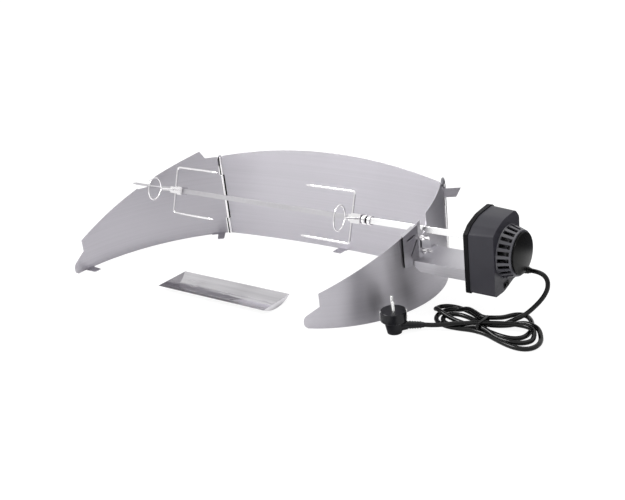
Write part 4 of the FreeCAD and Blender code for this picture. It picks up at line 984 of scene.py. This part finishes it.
# ---- tray
@dataclass
class Tray:
    """The shallow rolled drip tray with folded ends."""

    centre: Pair = (-51.0 * MM, -126.0 * MM)
    turn: float = math.radians(1.0)
    length: float = 241 * MM
    width: float = 68 * MM
    height: float = 10 * MM
    sheet: float = 0.8 * MM
    trough_share: float = 0.995
    end_share: float = 0.97
    end_inset: float = 0.5 * MM
    end_drop: float = 0.2 * MM

    def build(self) -> None:
        """The trough: height follows a circle across it, and each end is a thin wall."""
        ball = ((self.width / 2) ** 2 + self.height ** 2) / (2 * self.height)
        full = math.asin(self.width / 2 / ball)

        def arc(x: Array, angle: Array, radius: float) -> Array:
            return np.stack([x, radius * np.sin(angle), ball - radius * np.cos(angle)], axis=-1)
        along, share = np.meshgrid(np.linspace(-0.5, 0.5, 25) * (self.length - self.sheet),
                                   np.linspace(-1, 1, 33), indexing="ij")
        angle = share * full * self.trough_share
        normal = np.stack([0 * angle, -np.sin(angle), np.cos(angle)], axis=-1)
        parts = [thick_sheet(arc(along, angle, ball - self.sheet / 2), normal, self.sheet)]
        for sign in (-1, 1):
            end_x = np.full(25, sign * (self.length - self.sheet) / 2)
            low = arc(end_x, np.linspace(-1, 1, 25) * full * self.end_share, ball - self.end_inset)
            high = low.copy()
            high[:, 2] = self.height - self.end_drop
            mid = np.stack([low, (low + high) / 2, high], axis=1)
            side = np.zeros_like(mid)
            side[..., 0] = 1
            parts.append(thick_sheet(mid, side, self.sheet))
        verts, faces = join(parts)
        c = math.cos(self.turn)
        s = math.sin(self.turn)
        verts = verts @ np.array([[c, s, 0], [-s, c, 0], [0, 0, 1]]) + np.array([*self.centre, 0])
        make_piece("tray_trough", (verts, faces), "tray_body", TRAY_STEEL, "drip_tray")


# ---- cord and plug
@dataclass(frozen=True)
class Turn:
    """One turn of the hank, in millimetres: a teardrop that leaves the tie and comes back to it.

    At a share u of the turn, the way out is reach * sin(pi u) and the way across is
    half_width * sin(2 pi u) + bow * sin(pi u) ** 2. The cord is lifted over others in its raised shares.
    """

    reach: float
    half_width: float
    heading: float
    bow: float
    enters: float
    leaves: float
    raised: tuple[Pair, ...]

    SLOPE = 0.08

    def points(self, tie_x: float, low: float, lift: float, count: int = 13) -> list[Triple]:
        """Control points of the turn."""
        share = (np.arange(count) + 0.5) / count
        out = self.reach * np.sin(math.pi * share)
        across = self.half_width * np.sin(2 * math.pi * share) + self.bow * np.sin(math.pi * share) ** 2
        c = math.cos(math.radians(self.heading))
        s = math.sin(math.radians(self.heading))
        up = np.zeros(count)
        for begin, end in self.raised:
            rise = ease((share - begin) / self.SLOPE + 0.5) * ease((end - share) / self.SLOPE + 0.5)
            up = np.maximum(up, rise)
        x = tie_x + c * out - s * across
        y = self.enters + (self.leaves - self.enters) * share + s * out + c * across
        return list(zip(x.tolist(), y.tolist(), (low + lift * up).tolist()))


def ease(share: Array) -> Array:
    """A smooth step from 0 to 1."""
    held = np.clip(share, 0, 1)
    return held * held * (3 - 2 * held)


@dataclass
class Lead:
    """The mains lead: out of the gland, down to the floor, round the tied hank and into the plug."""

    diameter: float = 7 * MM
    exit: Triple = (439.0 * MM, 34.0 * MM, 67.5 * MM)
    drop: tuple = ((439, 34, 67.5), (453, 34, 67.5), (464, 34, 60), (467, 31.5, 47.5), (463.5, 27, 35.5),
                   (457.5, 20.5, 25.5), (451, 11.5, 17.5), (446, 2, 12.6), (441.5, -8.5, 10.8), (434, -18, 8),
                   (424, -27, 3.6), (413, -33, 3.5))
    turns: tuple = (Turn(97.5, -15.5, 160.1, 7.8, -37.0, -51.5, ((0.60, 0.80),)),
                    Turn(68.5, -36.0, 26.1, 1.2, -52.5, -38.0, ((0.93, 1.1),)),
                    Turn(83.0, -22.1, 172.8, -5.0, -38.5, -59.5, ((-0.1, 0.24),)),
                    Turn(92.5, -27.0, 5.5, -16.8, -59.5, -44.0, ((0.62, 0.84),)),
                    Turn(70.1, -14.8, 177.0, -4.5, -43.0, -55.0, ((0.95, 1.1),)),
                    Turn(80.5, -18.6, -0.5, -0.1, -55.0, -47.5, ((-0.1, 0.05), (0.56, 1.1))))
    tail: tuple = ((389, -55, 10.6), (376, -61.5, 10.6), (362, -70, 10.6), (348, -77, 9), (335.5, -81.5, 7.6),
                   (323, -84.5, 7))
    tie_x: float = 402.0
    low: float = 3.5
    lift: float = 7.1

    def route(self) -> Array:
        """Control points in metres, from the gland to the plug."""
        points = list(self.drop)
        for turn in self.turns:
            points += turn.points(self.tie_x, self.low, self.lift)
        return np.array(points + list(self.tail), float) * MM

    def build(self, plug_pieces: list[Obj]) -> None:
        """The lead as one round NURBS cord on those control points."""
        route = self.route()
        curve = bpy.data.curves.new("mains_lead", "CURVE")
        curve.dimensions = "3D"
        curve.bevel_depth = self.diameter / 2
        curve.bevel_resolution = 5
        curve.resolution_u = 8
        curve.use_fill_caps = True
        spline = curve.splines.new("NURBS")
        spline.points.add(len(route) - 1)
        spline.points.foreach_set("co", np.concatenate([route, np.ones((len(route), 1))], axis=1).ravel())
        spline.order_u = 3
        spline.use_endpoint_u = True
        lead = linked("mains_lead", curve)
        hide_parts("supply_cord", "cord_hank", "plug_lead")
        finish_piece(lead, "motor_body", CORD)
        length = spline_length(lead)
        LOG.info("lead length %.3f m", length)
        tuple(self.exit)


def spline_length(obj: Obj) -> float:
    """Length of a curve object's centreline, read from the curve with no bevel."""
    copy = linked("centreline", obj.data.copy())
    copy.data.bevel_depth = 0.0
    graph = bpy.context.evaluated_depsgraph_get()
    mesh = bpy.data.meshes.new_from_object(copy.evaluated_get(graph))
    co = np.empty(len(mesh.vertices) * 3)
    mesh.vertices.foreach_get("co", co)
    step = np.diff(co.reshape(-1, 3), axis=0)
    bpy.data.meshes.remove(mesh)
    bpy.data.objects.remove(copy)
    return float(np.linalg.norm(step, axis=1).sum())


def build_plug() -> list[Obj]:
    """Dresses the plug and the tie, and returns the pieces on the lead."""
    rows = (("plug_body", "plug_moulded_body", PLUG, 0.7), ("plug_pins", "plug_pin_pair", PIN_METAL, 0.0),
            ("plug_earth_clips", "plug_clip_pair", PIN_METAL, 0.3),
            ("plug_strain_relief", "plug_relief_ribs", PLUG, 0.3), ("cable_tie", "hank_tie", CORD, 0.3))
    return [dress(node, name, "motor_body", finish, edge * MM) for node, name, finish, edge in rows]


# ---- stage
@dataclass
class Studio:
    """Floor, world, lamps and camera."""

    eye: Triple = (1.01794, -1.12961, 0.63485)
    yaw: float = -0.70752
    pitch: float = 0.37413
    roll: float = 0.11610
    lens: float = 53.99
    floor_half: float = 12.0
    floor_z: float = -0.0004
    glow: float = 1.12
    glow_share: float = 0.8
    white_paint: tuple[float, ...] = (0.9, 0.9, 0.9, 1)
    dark_paint: tuple[float, ...] = (0.1, 0.1, 0.11, 1)
    beside: Pair = (0.16, 0.34)
    beside_share: float = 0.1
    behind: Pair = (0.20, 0.30)
    streak_way: Pair = (0.48, 0.875)   # plan direction across the streak
    streak_at: float = 0.004
    streak_half: float = 0.055
    streak_from: Pair = (0.24, 0.30)
    lamp_aim: Triple = (0.05, 0.0, 0.08)

    def camera(self) -> None:
        """A camera turned by yaw about Z, then down by pitch, then rolled about its own view."""
        data = bpy.data.cameras.new("view")
        data.lens = self.lens
        data.sensor_width = 36.0
        data.sensor_fit = "HORIZONTAL"
        data.clip_end = 30.0
        flat = math.cos(self.pitch)
        ahead = Vector((math.sin(self.yaw) * flat, math.cos(self.yaw) * flat, -math.sin(self.pitch)))
        level = Vector((math.cos(self.yaw), -math.sin(self.yaw), 0.0))
        down = ahead.cross(level)
        right = math.cos(self.roll) * level + math.sin(self.roll) * down
        lower = -math.sin(self.roll) * level + math.cos(self.roll) * down
        frame = Matrix((right, -lower, -ahead)).transposed().to_4x4()
        frame.translation = Vector(self.eye)
        camera = linked("view", data)
        camera.matrix_world = frame
        bpy.context.scene.camera = camera

    def floor(self) -> None:
        """A wide white floor that glows faintly to the eye, so that only the object's shadow shows."""
        half = self.floor_half
        mesh = bpy.data.meshes.new("floor")
        corners = ((-half, -half), (half, -half), (half, half), (-half, half))
        mesh.from_pydata([(x, y, self.floor_z) for x, y in corners], [], [(0, 1, 2, 3)])
        mat = bpy.data.materials.new("white_floor")
        mat.use_nodes = True
        nodes = mat.node_tree.nodes
        nodes.remove(nodes["Principled BSDF"])
        graph = Graph(mat.node_tree)
        paint = graph.add("ShaderNodeBsdfDiffuse", {"Color": self.patch(graph)})
        glow = graph.add("ShaderNodeEmission", {"Color": (1, 1, 1, 1), "Strength": self.glow})
        direct = graph.add("ShaderNodeLightPath").outputs["Is Camera Ray"]
        graph.blend(graph.math("MULTIPLY", direct, self.glow_share), paint, glow, nodes["Material Output"])
        mesh.materials.append(mat)
        linked("floor", mesh)

    @staticmethod
    def mask(graph: Graph, way: Pair, begin: float, end: float) -> Socket:
        """A smooth step across the floor along a plan direction, from begin to end."""
        place = graph.add("ShaderNodeTexCoord").outputs["Object"]
        ahead = graph.vector("DOT_PRODUCT", place, (*way, 0.0), 1)
        return graph.add("ShaderNodeMapRange", {"Value": ahead, "From Min": begin, "From Max": end},
                         interpolation_type="SMOOTHSTEP").outputs["Result"]

    def streak(self, graph: Graph) -> Socket:
        """A narrow strip of floor outside the right wing that the wing shows as an upright dark band."""
        x, y = self.streak_way
        near = self.mask(graph, (x, y), self.streak_at - self.streak_half, self.streak_at)
        far = self.mask(graph, (-x, -y), -self.streak_at - self.streak_half, -self.streak_at)
        outside = self.mask(graph, (y, -x), *self.streak_from)
        return graph.math("MULTIPLY", graph.math("MULTIPLY", near, far), outside)

    def patch(self, graph: Graph) -> Socket:
        """The floor's colour: white, with dark areas that only reflections see.

        They lie outside the right wing, weakly, and behind the rear panel; the streak is one more.
        """
        beside = graph.math("MULTIPLY", self.mask(graph, (1.0, -0.35), *self.beside), self.beside_share)
        either = graph.math("MAXIMUM", beside, self.mask(graph, (0.0, 1.0), *self.behind))
        dark = graph.math("MAXIMUM", either, self.streak(graph))
        mirrored = graph.add("ShaderNodeLightPath").outputs["Is Glossy Ray"]
        share = graph.math("MULTIPLY", dark, mirrored)
        return graph.add("ShaderNodeMix", {"Factor": share, 6: self.white_paint, 7: self.dark_paint},
                         data_type="RGBA").outputs[2]

    def world(self) -> None:
        """An even sky, a little darker low in front and to the right; white to the eye."""
        world = bpy.data.worlds.new("studio")
        world.use_nodes = True
        bpy.context.scene.world = world
        nodes = world.node_tree.nodes
        graph = Graph(world.node_tree)
        sky = nodes["Background"]
        place = graph.add("ShaderNodeTexCoord").outputs["Generated"]
        toward = graph.vector("DOT_PRODUCT", place, (0.62, -0.55, -0.35), 1)
        tone = graph.ramp(toward, (0.35, (1, 1, 1)), (0.85, (0.35, 0.34, 0.36)))
        graph.feed(sky, {"Color": tone, "Strength": 1.0})
        white = graph.add("ShaderNodeBackground", {"Color": (1, 1, 1, 1)})
        direct = graph.add("ShaderNodeLightPath").outputs["Is Camera Ray"]
        graph.blend(direct, sky, white, nodes["World Output"])

    def lamp(self, name: str, spot: Triple, size: float, power: float) -> None:
        """One square soft lamp aimed at the collar's middle."""
        data = bpy.data.lights.new(name, "AREA")
        data.size = size
        data.energy = power
        lamp = linked(name, data)
        lamp.location = spot
        aim = Vector(self.lamp_aim) - Vector(spot)
        lamp.rotation_euler = aim.to_track_quat("-Z", "Y").to_euler()

    def build(self) -> None:
        """Sets the whole studio."""
        bpy.context.scene.view_settings.view_transform = "Standard"
        self.camera()
        self.floor()
        self.world()
        self.lamp("key_lamp", (-0.9, -0.8, 1.6), 0.7, 22.0)
        self.lamp("top_lamp", (0.4, 0.6, 2.0), 1.6, 6.0)


def main() -> None:
    """Builds the pieces in order."""
    logging.basicConfig(level=logging.INFO, format="%(message)s")
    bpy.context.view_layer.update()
    RearPanel().build()
    Wing(Side.LEFT, 28.8, 323.3 * MM).build()
    Wing(Side.RIGHT, 50.1, 184.8 * MM).build()
    HingePin(Side.LEFT, 2.5 * MM).build()
    HingePin(Side.RIGHT, 11.0 * MM).build()
    Spit().build()
    Fork(Side.LEFT, -266.5 * MM, -5 * MM).build()
    Fork(Side.RIGHT, 143.8 * MM, 10 * MM).build()
    build_bracket()
    Motor().build()
    Tray().build()
    Lead().build(build_plug())
    Studio().build()


if __name__ == "__main__":
    main()
